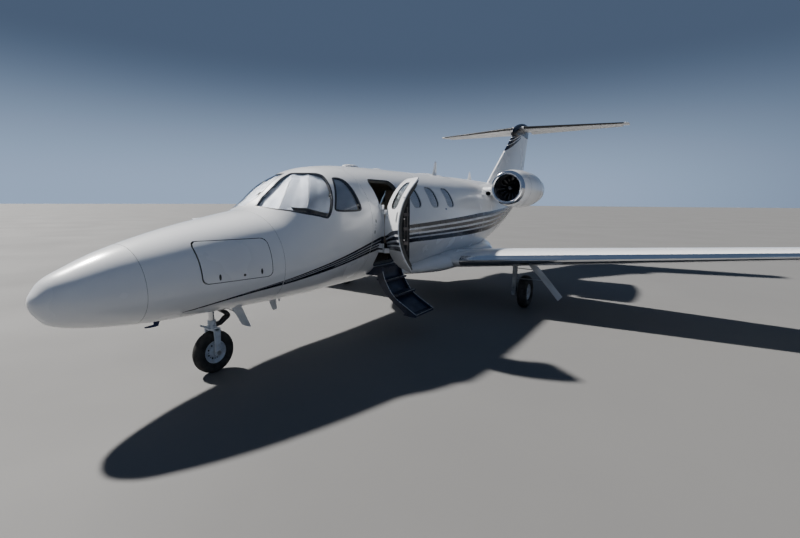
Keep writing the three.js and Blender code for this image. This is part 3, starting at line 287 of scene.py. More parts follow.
def tube(path, radius, sides=16):
    """Rings round a path of points: a circle across the path's direction at each point."""
    path = np.asarray(path, float)
    radius = np.broadcast_to(np.asarray(radius, float), len(path))
    ahead = unit(np.gradient(path, axis=0))
    helper = np.where(np.abs(ahead[:, 2:3]) > 0.9, [[1.0, 0, 0]], [[0, 0, 1.0]])
    across = unit(np.cross(helper, ahead))
    upward = np.cross(ahead, across)
    turn = np.linspace(0, 2 * np.pi, sides, endpoint=False)[None, :, None]
    return path[:, None] + radius[:, None, None] * (across[:, None] * np.cos(turn) + upward[:, None]
                                                    * np.sin(turn))


def turned(profile, centre, axis="x", sides=48):
    """A hoop of revolution: profile rows are radius and distance along the axis."""
    profile = np.asarray(profile, float)
    turn = np.linspace(0, 2 * np.pi, sides, endpoint=False)[:, None]
    radius, along = profile[None, :, 0], np.broadcast_to(profile[None, :, 1], (sides, len(profile)))
    first, second = radius * np.cos(turn), radius * np.sin(turn)
    order = {"x": (along, first, second), "y": (first, along, second), "z": (first, second, along)}
    return np.stack(order[axis], -1) + np.asarray(centre, float)


def block(low, high, soft=0.0):
    """A box from corner to corner, with its four upright edges rounded off by soft."""
    outline = rounded(low[0], high[0], low[1], high[1], soft) if soft else np.array(
        [(low[0], low[1]), (high[0], low[1]), (high[0], high[1]), (low[0], high[1])], float)
    return np.stack([np.column_stack([outline, np.full(len(outline), z)]) for z in (low[2], high[2])])


def rounded(u0, u1, v0, v1, corner, steps=8):
    """A rectangle whose corners are quarter circles."""
    turn = np.linspace(0, np.pi / 2, steps + 1)
    centres = [(u1 - corner, v0 + corner, -1), (u1 - corner, v1 - corner, 0),
               (u0 + corner, v1 - corner, 1), (u0 + corner, v0 + corner, 2)]
    return np.concatenate([np.column_stack([u + corner * np.cos(turn + q * np.pi / 2),
                                            v + corner * np.sin(turn + q * np.pi / 2)])
                           for u, v, q in centres])


# Which column of an outline and its depth gives X, Y and Z, for each plane that it is drawn in
PLANE_ORDER = {"yz": [2, 0, 1], "xz": [0, 2, 1], "xy": [0, 1, 2]}


def plate(outline, plane, low, high):
    """A flat outline given a thickness: plane is yz, xz or xy, and low and high lie across it."""
    outline = np.asarray(outline, float)
    return np.stack([np.column_stack([outline, np.full(len(outline), depth)])[:, PLANE_ORDER[plane]]
                     for depth in (low, high)])


def even(outline, step):
    """Points set at an even step round a closed outline."""
    loop = np.vstack([outline, outline[:1]])
    distance = np.concatenate([[0], np.cumsum(np.linalg.norm(np.diff(loop, axis=0), axis=1))])
    places = np.linspace(0, distance[-1], max(8, int(distance[-1] / step)), endpoint=False)
    return np.column_stack([np.interp(places, distance, loop[:, k]) for k in range(loop.shape[1])])


# %% [markdown]
# ## The body
# The fuselage is one table of sections, read from the photograph's outline: behind the nose tip,
# top, belly, half width, roundness (2 is an ellipse) and how high the widest place lies. The solids
# have 28 flat sides. Here the same formula is taken finely, as a function of the distance s and
# the turn round the body, so that the paint reflects smoothly. Openings are cut in that flat
# (s, turn) chart by a triangulation that keeps their outlines, and the wall gets its thickness.
# %% The body's formula
BODY = np.array([
    [0, 1.028, 1.028, 0.0, 2.0, 0.5], [0.002, 1.05, 1.005, 0.024, 2.0, 0.5],
    [0.006, 1.067, 0.988, 0.0416, 2.0, 0.5], [0.014, 1.086, 0.966, 0.0635, 2.0, 0.5],
    [0.03, 1.11, 0.936, 0.093, 2.0, 0.5],
    [0.1, 1.196, 0.849, 0.166, 2.0, 0.5], [0.25, 1.274, 0.792, 0.26, 2.0, 0.48],
    [0.5, 1.379, 0.746, 0.365, 2.05, 0.46], [0.85, 1.484, 0.71, 0.48, 2.1, 0.45],
    [1.25, 1.58, 0.696, 0.575, 2.15, 0.45], [1.7, 1.667, 0.686, 0.665, 2.2, 0.45],
    [1.98, 1.724, 0.678, 0.71, 2.2, 0.45], [2.2, 1.866, 0.676, 0.735, 2.25, 0.44],
    [2.5, 2.085, 0.674, 0.77, 2.35, 0.45], [2.9, 2.228, 0.668, 0.8, 2.2, 0.48],
    [3.4, 2.28, 0.66, 0.82, 2.05, 0.5], [4.2, 2.302, 0.656, 0.825, 2.0, 0.5],
    [5.5, 2.311, 0.656, 0.825, 2.0, 0.5], [6.5, 2.317, 0.658, 0.82, 2.0, 0.5],
    [7.5, 2.32, 0.719, 0.79, 2.0, 0.5], [8.5, 2.313, 0.88, 0.7, 2.0, 0.5],
    [9.5, 2.29, 1.12, 0.56, 2.0, 0.5], [10.5, 2.25, 1.42, 0.39, 2.0, 0.5],
    [11.5, 2.19, 1.75, 0.2, 2.0, 0.5], [12.35, 2.14, 2.01, 0.06, 2.0, 0.5]])
NOSE_CONE_END, NOSE_SECTION_END, COCKPIT_END, CABIN_END, TAIL_END = 0.65, 1.88, 3.25, 7.15, 12.35


def read_table(rows, column, at):
    """Smooth value between rows: a cubic with harmonic slopes, which never overshoots a row."""
    x, y = rows[:, 0], rows[:, column]
    rise = np.diff(y) / np.diff(x)
    slope = np.concatenate([rise[:1], np.zeros(len(x) - 2), rise[-1:]])
    before, after = rise[:-1], rise[1:]
    same = before * after > 0
    slope[1:-1][same] = (2 * before * after)[same] / (before + after)[same]
    at = np.clip(at, x[0], x[-1])
    row = np.clip(np.searchsorted(x, at) - 1, 0, len(x) - 2)
    width = x[row + 1] - x[row]
    t = (at - x[row]) / width
    return ((1 + 2 * t) * (1 - t) ** 2 * y[row] + t * (1 - t) ** 2 * width * slope[row]
            + t * t * (3 - 2 * t) * y[row + 1] + t * t * (t - 1) * width * slope[row + 1])


def body_shape(s):
    """Half width, middle height, reach up and down, and roundness of the body at s."""
    top, belly, half, roundness, waist = (read_table(BODY, column, s) for column in range(1, 6))
    middle = belly + (top - belly) * waist
    return half, middle, top - middle, middle - belly, roundness


def body_point(s, turn):
    """Superellipse: each of cosine and sine of the turn to the power 2 over roundness."""
    half, middle, rise, drop, roundness = body_shape(s)
    c, w = np.cos(turn), np.sin(turn)
    across = np.sign(c) * np.abs(c) ** (2 / roundness)
    height = np.sign(w) * np.abs(w) ** (2 / roundness) * np.where(w > 0, rise, drop)
    return np.stack([half * across, aft(s) + 0 * turn, middle + height], -1)


def body_normal(s, turn, step=2e-3):
    """Cross product of the two directions in the skin, from small steps both ways."""
    along = body_point(s + step, turn) - body_point(np.maximum(s - step, 0), turn)
    around = body_point(s, turn + step) - body_point(s, turn - step)
    normal = np.cross(along, around)
    size = np.linalg.norm(normal, axis=-1, keepdims=True)
    return np.where(size > 1e-12, normal / np.maximum(size, 1e-12), [0, -1.0, 0])


def turn_at(s, z, side=1):
    """The turn at which the skin of one side (1 port, -1 starboard) has the height z."""
    half, middle, rise, drop, roundness = body_shape(s)
    share = np.clip((z - middle) / np.where(z > middle, rise, drop), -1, 1)
    w = np.sign(share) * np.abs(share) ** (roundness / 2)
    turn = np.arctan2(w, side * np.sqrt(np.maximum(0, 1 - w * w)))
    return np.where(turn < -np.pi / 2, turn + 2 * np.pi, turn)


def side_point(s, z, side=1, lift=0.0):
    """A point of the skin at a height on one side, moved out by lift."""
    turn = turn_at(s, z, side)
    return body_point(s, turn) + body_normal(s, turn) * lift


def side_chart(outline, side=1):
    """An outline in s and z as an outline in s and turn."""
    return np.column_stack([outline[:, 0], turn_at(outline[:, 0], outline[:, 1], side)])


# %% Cut panels of the body
ROUND = 0.8
CELL = 0.055


def inside(points, loop):
    """Even-odd rule: counts the loop's edges to the right of each point."""
    x, y = points[:, :1], points[:, 1:]
    x0, y0 = loop[None, :, 0], loop[None, :, 1]
    x1, y1 = np.roll(loop[:, 0], -1)[None], np.roll(loop[:, 1], -1)[None]
    spans = (y0 > y) != (y1 > y)
    with np.errstate(divide="ignore", invalid="ignore"):
        crossing = x0 + (y - y0) / (y1 - y0) * (x1 - x0)
    return (spans & (x < crossing)).sum(1) % 2 == 1


def chart_panel(outer, holes=(), cell=CELL, painted=()):
    """Triangles of a region of the (s, turn) chart: its outlines, and a grid of points between.

    Painted outlines cut the triangles too, and each gives its own mark to the triangles inside it."""
    scale = np.array([1, ROUND])
    loops = [np.asarray(loop) * scale for loop in (outer, *holes, *(shape for shape, _ in painted))]
    low, high = loops[0].min(0), loops[0].max(0)
    counts = np.maximum(2, ((high - low) / cell).astype(int) + 1)
    grid = np.stack(np.meshgrid(np.linspace(low[0], high[0], counts[0]),
                                np.linspace(low[1], high[1], counts[1]), indexing="ij"), -1).reshape(-1, 2)
    edge_points = np.concatenate(loops)
    near = np.array([np.min(np.sum((edge_points - p) ** 2, 1)) for p in grid]) < (0.4 * cell) ** 2
    keep = inside(grid, loops[0]) & ~near
    hole_loops, paint_loops = loops[1:1 + len(holes)], loops[1 + len(holes):]
    for hole in hole_loops:
        keep &= ~inside(grid, hole)
    edges, start = [], 0
    for loop in loops:
        index = start + np.arange(len(loop))
        edges.append(np.column_stack([index, np.roll(index, -1)]))
        start += len(loop)
    points = np.concatenate([edge_points, grid[keep]])
    found = delaunay_2d_cdt([tuple(p) for p in points], np.concatenate(edges).tolist(), [], 0, 1e-7)
    chart = np.array([tuple(p) for p in found[0]])
    triangles = np.array([f for f in found[2] if len(f) == 3])
    centres = chart[triangles].mean(1)
    good = inside(centres, loops[0])
    for hole in hole_loops:
        good &= ~inside(centres, hole)
    paint = np.zeros(len(triangles), int)
    for loop, (_, mark) in zip(paint_loops, painted):
        paint[inside(centres, loop)] = mark
    return chart / scale, triangles[good], paint[good]


def ring_border(s0, s1, cell=CELL):
    """Border of a whole ring of the body in the chart, its seam along the belly."""
    along = np.linspace(s0, s1, max(2, int((s1 - s0) / cell)) + 1)
    around = np.linspace(-np.pi / 2, 1.5 * np.pi, 97)
    return np.concatenate([
        np.column_stack([along[:-1], np.full(len(along) - 1, around[0])]),
        np.column_stack([np.full(96, s1), around[:-1]]),
        np.column_stack([along[:0:-1], np.full(len(along) - 1, around[-1])]),
        np.column_stack([np.full(96, s0), around[:0:-1]])])


def skin(name, chart, triangles, paint, lift, thickness, finishes, body="airframe", move=None, slot=None):
    """A closed wall from a charted panel: outside, inside and rim, with the formula's own normals."""
    points, normals = body_point(chart[:, 0], chart[:, 1]), body_normal(chart[:, 0], chart[:, 1])
    _, first, back = np.unique(np.round(points, 6), axis=0, return_index=True, return_inverse=True)
    points, normals, triangles = points[first], normals[first], back.reshape(-1)[triangles]
    folded = callable(lift)
    lift = lift(chart[first])[:, None] if folded else lift
    whole = (triangles[:, 0] != triangles[:, 1]) & (triangles[:, 1] != triangles[:, 2]) \
        & (triangles[:, 2] != triangles[:, 0])
    triangles, paint = triangles[whole], paint[whole]
    a, b, c = (points[triangles[:, k]] for k in range(3))
    inward = np.einsum("ij,ij->i", np.cross(b - a, c - a), normals[triangles].mean(1)) < 0
    triangles[inward] = triangles[inward][:, ::-1]
    edges = np.concatenate([triangles[:, [0, 1]], triangles[:, [1, 2]], triangles[:, [2, 0]]])
    known = set(map(tuple, edges.tolist()))
    border = np.array([edge for edge in edges.tolist() if (edge[1], edge[0]) not in known])
    count = len(points)
    outer, inner = points + normals * lift, points + normals * (lift - thickness)
    both = np.concatenate([outer, inner])
    rim = np.column_stack([border[:, 1], border[:, 0], border[:, 0] + count, border[:, 1] + count])
    across = unit(np.cross(both[rim[:, 1]] - both[rim[:, 0]], both[rim[:, 2]] - both[rim[:, 0]]))
    corner_normals = np.concatenate([
        normals[triangles].reshape(-1, 3), -normals[triangles[:, ::-1]].reshape(-1, 3),
        np.repeat(across, 4, axis=0)])
    if move is not None:
        both, corner_normals = both @ move[0].T + move[1], corner_normals @ move[0].T
    finishes = finishes if isinstance(finishes, (list, tuple)) else [finishes]
    marks = np.repeat(np.minimum([0, 1, 2], len(finishes) - 1), [len(triangles), len(triangles), len(rim)])
    marks[:len(triangles)] = paint
    sets = [triangles, triangles[:, ::-1] + count, rim]
    return add_piece(name, both, sets, finishes, body, marks=marks,
                     normals=None if folded else corner_normals, slot=slot, angle=12)


# %% Openings in the body
WINDOW_WIDTH, WINDOW_HEIGHT, WINDOW_CORNER, WINDOW_MIDDLE = 0.285, 0.33, 0.095, 1.88
PORT_WINDOWS, STARBOARD_WINDOWS = (4.45, 5.03, 5.615), (3.865, 4.45, 5.03, 5.615)
PANE = np.array([[2.025, 1.535], [2.592, 1.542], [2.622, 1.5], [2.64, 1.363], [2.694, 1.244],
                 [2.757, 1.15], [2.774, 1.07], [2.758, 0.98], [2.728, 0.839], [2.683, 0.668],
                 [2.635, 0.529], [2.581, 0.423], [2.53, 0.356], [2.483, 0.343], [2.327, 0.544],
                 [2.213, 0.746], [2.098, 1.01], [2.04, 1.259]])
SIDE_PANE = np.array([[2.645, 1.69], [3.04, 1.69], [3.074, 1.722], [3.06, 1.82], [3.036, 2.01],
                      [3.012, 2.062], [2.96, 2.084], [2.88, 2.084], [2.84, 2.064], [2.632, 1.722]])


def softened(outline, rounds=2):
    """Cuts the corners of a closed outline: each edge keeps its points at a quarter and three quarters."""
    for _ in range(rounds):
        after = np.roll(outline, -1, axis=0)
        outline = np.stack([0.75 * outline + 0.25 * after, 0.25 * outline + 0.75 * after], 1).reshape(-1, 2)
    return outline


def window_chart(at, side, grow=0.0):
    """A cabin window's outline in the chart, grown by so much all round."""
    outline = rounded(at - WINDOW_WIDTH / 2 - grow, at + WINDOW_WIDTH / 2 + grow,
                      WINDOW_MIDDLE - WINDOW_HEIGHT / 2 - grow, WINDOW_MIDDLE + WINDOW_HEIGHT / 2 + grow,
                      WINDOW_CORNER + grow)
    return side_chart(even(outline, 0.02), side)


def windshield_chart(side):
    """The front pane in s and turn: its corners are cut once, and the far side is a mirror."""
    outline = softened(PANE, 1)
    if side < 0:
        outline = np.column_stack([outline[:, 0], np.pi - outline[:, 1]])
    return even(outline, 0.02)


def side_pane_chart(side):
    """The cockpit side window in s and turn."""
    return side_chart(even(softened(SIDE_PANE), 0.02), side)


DOOR = dict(front=3.46, back=4.06, sill=0.93, top=2.1, corner=0.09)


def door_outline(front=0, back=0, ends=0):
    """The entry door's outline in the chart, drawn in at its front, its back and both ends."""
    outline = rounded(DOOR["front"] + front, DOOR["back"] - back, DOOR["sill"] + ends, DOOR["top"] - ends,
                      DOOR["corner"])
    return side_chart(even(outline, 0.03), 1)


# Front, back, sill, top and corner of the baggage opening, and of the door in it
BAGGAGE, BAGGAGE_PANEL = (1.06, 1.74, 1.06, 1.44, 0.05), (1.071, 1.734, 1.066, 1.434, 0.05)


def baggage_chart(side, edges=BAGGAGE):
    """A baggage door's outline in the chart."""
    return side_chart(even(rounded(*edges, 4), 0.03), side)


# %% [markdown]
# The paint scheme is a sweep of four near-black navy lines with silver between them. It starts as one
# thin line low on the nose, climbs and widens to the door, and runs along the cabin under the
# windows. It is paint, so it has no thickness: its outlines cut the skin's triangles.
# %% Stripes
STRIPE_TOP = np.array([
    [0.95, 0.82], [1.006, 0.832], [1.542, 0.934], [2.074, 1.025], [2.749, 1.163], [3.391, 1.335],
    [3.991, 1.465], [4.772, 1.493], [5.922, 1.541], [6.926, 1.594], [8.419, 1.657], [9.6, 1.735],
    [11.2, 1.905]])
STRIPE_BOTTOM = np.array([
    [0.95, 0.814], [1.006, 0.822], [1.552, 0.909], [2.097, 0.965], [2.795, 1.059], [3.495, 1.18],
    [4.122, 1.212], [4.874, 1.202], [6.065, 1.19], [7.104, 1.205], [8.4, 1.3], [9.6, 1.48], [11.2, 1.87]])
SILVER_SHARES = [(0.22, 0.3, 2.6), (0.44, 0.54, 1.9), (0.7, 0.8, 1.45)]
NAVY_MARK, SILVER_MARK = 3, 4


def stripe(s0, s1, low, high, side, step=0.07):
    """An outline between two shares of the sweep's height, from s0 to s1."""
    s = np.linspace(s0, s1, max(3, int((s1 - s0) / step)))
    top, bottom = read_table(STRIPE_TOP, 1, s), read_table(STRIPE_BOTTOM, 1, s)
    lower = np.column_stack([s, bottom + (top - bottom) * low])
    upper = np.column_stack([s, bottom + (top - bottom) * high])
    return side_chart(np.concatenate([lower, upper[::-1]]), side)


def stripes(s0, s1, sides=(1, -1)):
    """The navy sweep and its silver lines, as painted outlines with their marks."""
    found = []
    for side in sides:
        start = max(s0, 0.95)
        found.append((stripe(start, s1, 0, 1, side), NAVY_MARK))
        found += [(stripe(max(start, begin), s1, low, high, side), SILVER_MARK)
                  for low, high, begin in SILVER_SHARES if begin < s1]
    return found


# %% The five painted sections
SKIN_WALL = [WHITE_PAINT, LINING, REVEAL_PAINTED_SHADE, NAVY_PAINT, SILVER_PAINT]
STRIPED = [NAVY_PAINT, SILVER_PAINT]
cone = chart_panel(ring_border(0, np.sqrt(NOSE_CONE_END - 0.0012), 0.03), cell=0.04)
cone[0][:, 0] **= 2
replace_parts(skin("nose_cone_skin", *cone, 0, 0.006,
                 [WHITE_PAINT, PRIMER, DARK_RUBBER], slot="painted_skin"), "nose_cone")
nose_doors = [baggage_chart(side) for side in (1, -1)]
nose_panel = chart_panel(ring_border(NOSE_CONE_END + 0.0012, NOSE_SECTION_END - 0.001), nose_doors,
                         painted=stripes(0.66, 1.875))
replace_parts(skin("nose_section_skin", *nose_panel, 0, 0.025,
                 [WHITE_PAINT, PRIMER, DARK_RUBBER, *STRIPED], slot="painted_nose"), "nose_section")
cockpit_openings = [chart(side) for side in (1, -1) for chart in (windshield_chart, side_pane_chart)]
cockpit_panel = chart_panel(ring_border(NOSE_SECTION_END + 0.001, COCKPIT_END - 0.001, 0.04),
                            cockpit_openings, 0.04, stripes(1.885, 3.245))
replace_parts(skin("cockpit_skin", *cockpit_panel, 0, 0.045,
                 [WHITE_PAINT, DARK_TRIM, DARK_RUBBER, *STRIPED], slot="painted_skin"), "cockpit_section")
cabin_openings = [window_chart(at, 1) for at in PORT_WINDOWS]
cabin_openings += [window_chart(at, -1) for at in STARBOARD_WINDOWS] + [door_outline()]
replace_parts(skin("cabin_skin", *chart_panel(ring_border(COCKPIT_END + 0.001, CABIN_END - 0.001),
                                            cabin_openings, painted=stripes(3.255, 7.145)), 0, 0.06,
                 SKIN_WALL, slot="painted_skin"), "entry_section", "cabin_section")
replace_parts(skin("tail_skin", *chart_panel(ring_border(CABIN_END + 0.001, TAIL_END, 0.08),
                                           painted=stripes(7.155, 11.2)), 0, 0.02,
                 [WHITE_PAINT, PRIMER, WHITE_PAINT, *STRIPED], slot="painted_skin"), "tail_section")
print("body skins made")

# %% [markdown]
# ## Glass, seals and shades
# Each pane lies 3 mm below the paint in its opening, and a soft black bead covers the joint. Folding
# sunshades stand behind the cockpit's glass, 2 to 4 cm below the skin. They are thin sheets, cut to
# the panes' outlines. The windshields cast no shadow, so that the sun reaches the shades.
# %% Glass and fabric finishes
def glass(name, tint, smudge):
    """Clear acrylic: full transmission, with a roughness that varies slowly as on wiped glass."""
    finish, nodes, links, shader = new_finish(name, tint, 0.02, **{"Transmission Weight": 1.0, "IOR": 1.49})
    slow = noise_of(nodes, links, 3.0, 4)
    shine = spread_of(nodes, links, slow.outputs["Fac"], 0.0, smudge)
    links.new(shine.outputs["Result"], shader.inputs["Roughness"])
    return finish


CLEAR_GLASS = glass("windshield_glass", (0.93, 0.95, 0.96), 0.03)
TINTED_GLASS = glass("cabin_window_glass", (0.93, 0.95, 0.97), 0.04)
BLIND = worn("window_blind", (0.84, 0.86, 0.9), (0.76, 0.78, 0.83), 3, (0.5, 0.7), 200, 0.1,
             stretch=(1, 1, 6))
# The door's blind is a darker grey than the cabin blinds as painted reflection: it gives the door's window the
# grey of glass that mirrors the ground and sky.
DOOR_BLIND_PAINTED_REFLECTION = worn("door_window_blind", (0.34, 0.37, 0.38), (0.26, 0.29, 0.3), 3, (0.5, 0.7), 200, 0.1,
                  stretch=(1, 1, 6))
PALE_SEAL = worn("cabin_window_seal", (0.4, 0.42, 0.45), (0.3, 0.32, 0.35), 30, (0.4, 0.6), 300, 0.15)
# The shades' cloth is pale. Its darker blue grey here is partly painted shade and partly painted sky
# reflection, since the sun reaches it through glass that casts no shadow.
SHADE_CLOTH_DARKENED = worn("sunshade_cloth_with_painted_shade", (0.45, 0.49, 0.58), (0.37, 0.41, 0.5), 4, (0.45, 0.7), 160, 0.3)
# A pale strip along each fold's ridge is painted highlight, where the ridge catches the light.
FOLD_HIGHLIGHT_STRIP = worn("sunshade_fold_painted_highlight", (0.88, 0.89, 0.91), (0.78, 0.79, 0.82), 20, (0.5, 0.7), 400, 0.3)


def shrunk(chart, share):
    """The outline drawn in towards its middle by a share."""
    middle = chart.mean(0)
    return middle + (chart - middle) * (1 - share)


def bead(chart, width, out, sink, shift=0.0, move=None):
    """A soft bead along a charted outline, from sink below the skin to out above, as a hoop.

    Each ring stands across the path: half the width to each side, with its top corners cut."""
    points, normals = body_point(chart[:, 0], chart[:, 1]), body_normal(chart[:, 0], chart[:, 1])
    ahead = np.roll(points, -1, 0) - np.roll(points, 1, 0)
    across = unit(np.cross(normals, ahead))
    if np.einsum("ij,ij->", points - points.mean(0), across) < 0:
        across = -across
    reach = width / 2
    corner = out - 0.7 * abs(out)
    section = np.array([[-reach, -sink], [reach, -sink], [reach, corner], [reach * 0.6, out],
                        [-reach * 0.6, out], [-reach, corner]])
    rings = points[:, None] + across[:, None] * (section[:, :1] + shift) + normals[:, None] * section[:, 1:]
    return ("hoop", rings if move is None else rings @ move[0].T + move[1])


# %% Windshields, side panes and their seals
WINDOW_SEAL = worn("window_seal", (0.03, 0.033, 0.042), (0.016, 0.018, 0.026), 30, (0.35, 0.6), 300, 0.2)
for side, sign in SIDES:
    front_chart, side_chart_of_pane = windshield_chart(sign), side_pane_chart(sign)
    front_pane = skin(f"windshield_{side}_pane", *chart_panel(shrunk(front_chart, 0.003)), -0.003, 0.012,
                      CLEAR_GLASS, slot="glazing")
    front_pane.visible_shadow = False
    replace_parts(front_pane, f"windshield_{side}")
    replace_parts(skin(f"cockpit_window_{side}_pane", *chart_panel(shrunk(side_chart_of_pane, 0.003)), -0.003,
                     0.01, CLEAR_GLASS, slot="glazing"), f"cockpit_window_{side}")
    lofts(f"windshield_{side}_seal", [bead(front_chart, 0.02, 0.0016, 0.01)], WINDOW_SEAL, slot="tyre_rubber")
    lofts(f"cockpit_window_{side}_seal", [bead(side_chart_of_pane, 0.026, 0.0016, 0.01)], WINDOW_SEAL,
          slot="tyre_rubber")
print("windshields and side panes made")

# %% [markdown]
# A shade is quilted film that folds like a map. Behind the windshield it stands out in two ridges,
# and it stops short of the lower rear corner, where the dark cockpit shows. Its depth below the skin
# is a base depth less a tent over each fold line.
# %% Sunshades
# The two ends of each fold: behind the nose tip, and height
FOLDS = [[[2.434, 2.03], [2.159, 1.779]], [[2.679, 2.133], [2.316, 1.726]]]
SHADE_DEPTH, FOLD_RISE, FOLD_REACH = 0.042, 0.022, 0.11


def fold_lines(sign):
    """The two fold lines as pairs of points in the chart."""
    return [np.array([[s, float(turn_at(np.array(s), np.array(z), sign))] for s, z in ends])
            for ends in FOLDS]


def line_distance(chart, line):
    """Distance in metres from points of the chart to the line through two others."""
    scale = np.array([1, ROUND])
    start, along = line[0] * scale, (line[1] - line[0]) * scale
    along /= np.linalg.norm(along)
    offset = chart * scale - start
    return np.abs(offset[:, 0] * along[1] - offset[:, 1] * along[0])


def shade_lift(sign):
    """Lift of the shade at a place of the chart: minus its depth, plus a tent over each fold line."""
    lines = fold_lines(sign)

    def lift(chart):
        tents = sum(np.maximum(0, 1 - line_distance(chart, line) / FOLD_REACH) for line in lines)
        return -SHADE_DEPTH + FOLD_RISE * tents
    return lift


def sheet_area(points, triangles):
    """Half the length of each triangle's cross product, summed."""
    a, b, c = (points[triangles[:, k]] for k in range(3))
    return float(np.linalg.norm(np.cross(b - a, c - a), axis=1).sum() / 2)


def fold_highlight_outline(line, reach=0.004):
    """A narrow outline along a fold line, for the pale strip painted over it as the highlight on the fold's
    ridge.
    """
    scale = np.array([1, ROUND])
    along = (line[1] - line[0]) * scale
    across = np.array([-along[1], along[0]]) / np.linalg.norm(along) * reach
    ends = [line[0] * scale - 0.2 * along, line[1] * scale + 0.2 * along]
    return np.array([ends[0] - across, ends[1] - across, ends[1] + across, ends[0] + across]) / scale


def shade(name, outline, lift, folds=()):
    """A shade as a thin closed sheet, whose true area is worked out and printed."""
    # Mark 3 paints the pale highlight strip along each fold.
    chart, triangles, paint = chart_panel(outline, cell=0.028, painted=[(fold_highlight_outline(line), 3) for line in folds])
    area = sheet_area(body_point(chart[:, 0], chart[:, 1]), triangles)
    piece = skin(name, chart, triangles, paint, lift, 0.003, [SHADE_CLOTH_DARKENED] * 3 + [FOLD_HIGHLIGHT_STRIP],
                 slot="seat_leather")
    print(name, "area", round(area, 3))


# The lowest height of the shade along s: it stops short of the pane's lower rear corner
SHADE_HEM = ([2.15, 2.205, 2.58], [0.0, 1.766, 1.668])
for side, sign in SIDES:
    outline = shrunk(windshield_chart(sign), 0.025)
    hem = np.interp(outline[:, 0], *SHADE_HEM)
    cut = body_point(outline[:, 0], outline[:, 1])[:, 2] < hem
    outline[cut, 1] = turn_at(outline[cut, 0], hem[cut], sign)
    shade(f"windshield_shade_{side}", outline, shade_lift(sign), fold_lines(sign))
    outline = side_pane_chart(sign)
    rear = outline[:, 0] > 2.8
    outline[rear, 0] -= 0.16 * (outline[rear, 0] - 2.8)
    shade(f"cockpit_window_shade_{side}", shrunk(outline, 0.03), -0.022)

# %% [markdown]
# The cabin windows are panes with rounded corners in a mid grey seal. Behind them the lining has the same
# opening, so that a passenger looks through one smooth well in the wall.
# %% Cabin windows
for side, sign, places in (("port", 1, PORT_WINDOWS), ("starboard", -1, STARBOARD_WINDOWS)):
    panes = [skin(f"cabin_window_{side}_{number}", *chart_panel(window_chart(at, sign, -0.0006)), -0.004,
                  0.008, TINTED_GLASS, slot="glazing") for number, at in enumerate(places, 1)]
    seals = [bead(window_chart(at, sign), 0.014, 0.0008, 0.012, -0.004) for at in places]
    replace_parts(lofts(f"cabin_window_seals_{side}", seals, PALE_SEAL, slot="tyre_rubber"),
                f"window_band_{side}")
print("cabin windows made")

# %% [markdown]
# ## Doors
# The entry door swings forward on two hinges and stands open beside the cockpit. It is modelled shut,
# in its opening, and then turned about its hinge line by the same angle as the solid. Its skin carries
# its own part of the stripes. Behind the skin is a pan with a thick grey seal round its rim.
# %% Entry door
HINGE_X, HINGE_S, HINGE_HEIGHTS, DOOR_OPEN = 0.832, 3.46, (1.2, 1.7), np.radians(-130)


def about(x, s, angle):
    """Turn about an upright line at x and s, as a matrix and a shift."""
    turn = np.array([[np.cos(angle), -np.sin(angle), 0], [np.sin(angle), np.cos(angle), 0], [0, 0, 1]])
    pivot = np.array([x, aft(s), 0])
    return turn, pivot - turn @ pivot


OPENED = about(HINGE_X, HINGE_S, DOOR_OPEN)
DOOR_BODY = "entry_door_body"


def door_window(grow=0.0):
    """The outline of the door's window in the chart, grown by so much all round."""
    outline = rounded(3.625 - grow, 3.895 + grow, 1.712 - grow, 2.038 + grow, 0.092 + grow)
    return side_chart(even(outline, 0.02), 1)


door_panel = chart_panel(door_outline(0.006, 0.012, 0.009), [door_window()],
                         painted=stripes(3.4, 4.12, (1,)))
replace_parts(skin("entry_door_skin", *door_panel, 0, 0.014, [WHITE_PAINT, DARK_TRIM, WHITE_PAINT, *STRIPED],
                 DOOR_BODY, OPENED, "painted_skin"), "entry_door")
DOOR_EDGE = worn("door_edge_seal", (0.115, 0.112, 0.104), (0.07, 0.07, 0.066), 9, (0.45, 0.65), 120, 0.2)
skin("entry_door_pan", *chart_panel(door_outline(0.046, 0.046, 0.046), [door_window(0.004)]), -0.0135, 0.046,
     [DARK_TRIM, DARK_TRIM, DOOR_EDGE], DOOR_BODY, OPENED, "painted_skin")
lofts("entry_door_seal", [bead(door_outline(0.03, 0.03, 0.028), 0.022, -0.014, 0.036, move=OPENED)],
      DOOR_EDGE, DOOR_BODY, slot="tyre_rubber")
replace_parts(skin("entry_door_pane", *chart_panel(door_window(-0.0006)), -0.003, 0.01, TINTED_GLASS, DOOR_BODY,
                 OPENED, "glazing"), "entry_door_window")
lofts("entry_door_window_seal", [bead(door_window(), 0.012, 0.0008, 0.012, -0.003, OPENED)], WINDOW_SEAL,
      DOOR_BODY, slot="tyre_rubber")
lofts("doorway_seal", [bead(door_outline(), 0.014, -0.016, 0.05, -0.009)], DOOR_EDGE, slot="tyre_rubber")


def placed(rings, move):
    """Points turned and shifted by a move from about()."""
    return rings @ move[0].T + move[1]


def skin_x(s, z, wall=0.0):
    """How far out the port skin lies at a height: the body's formula with each reach less a wall."""
    half, middle, rise, drop, roundness = body_shape(np.array(s))
    share = np.clip((z - middle) / (np.where(z > middle, rise, drop) - wall), -1, 1)
    return (half - wall) * (1 - np.abs(share) ** roundness) ** (1 / roundness)


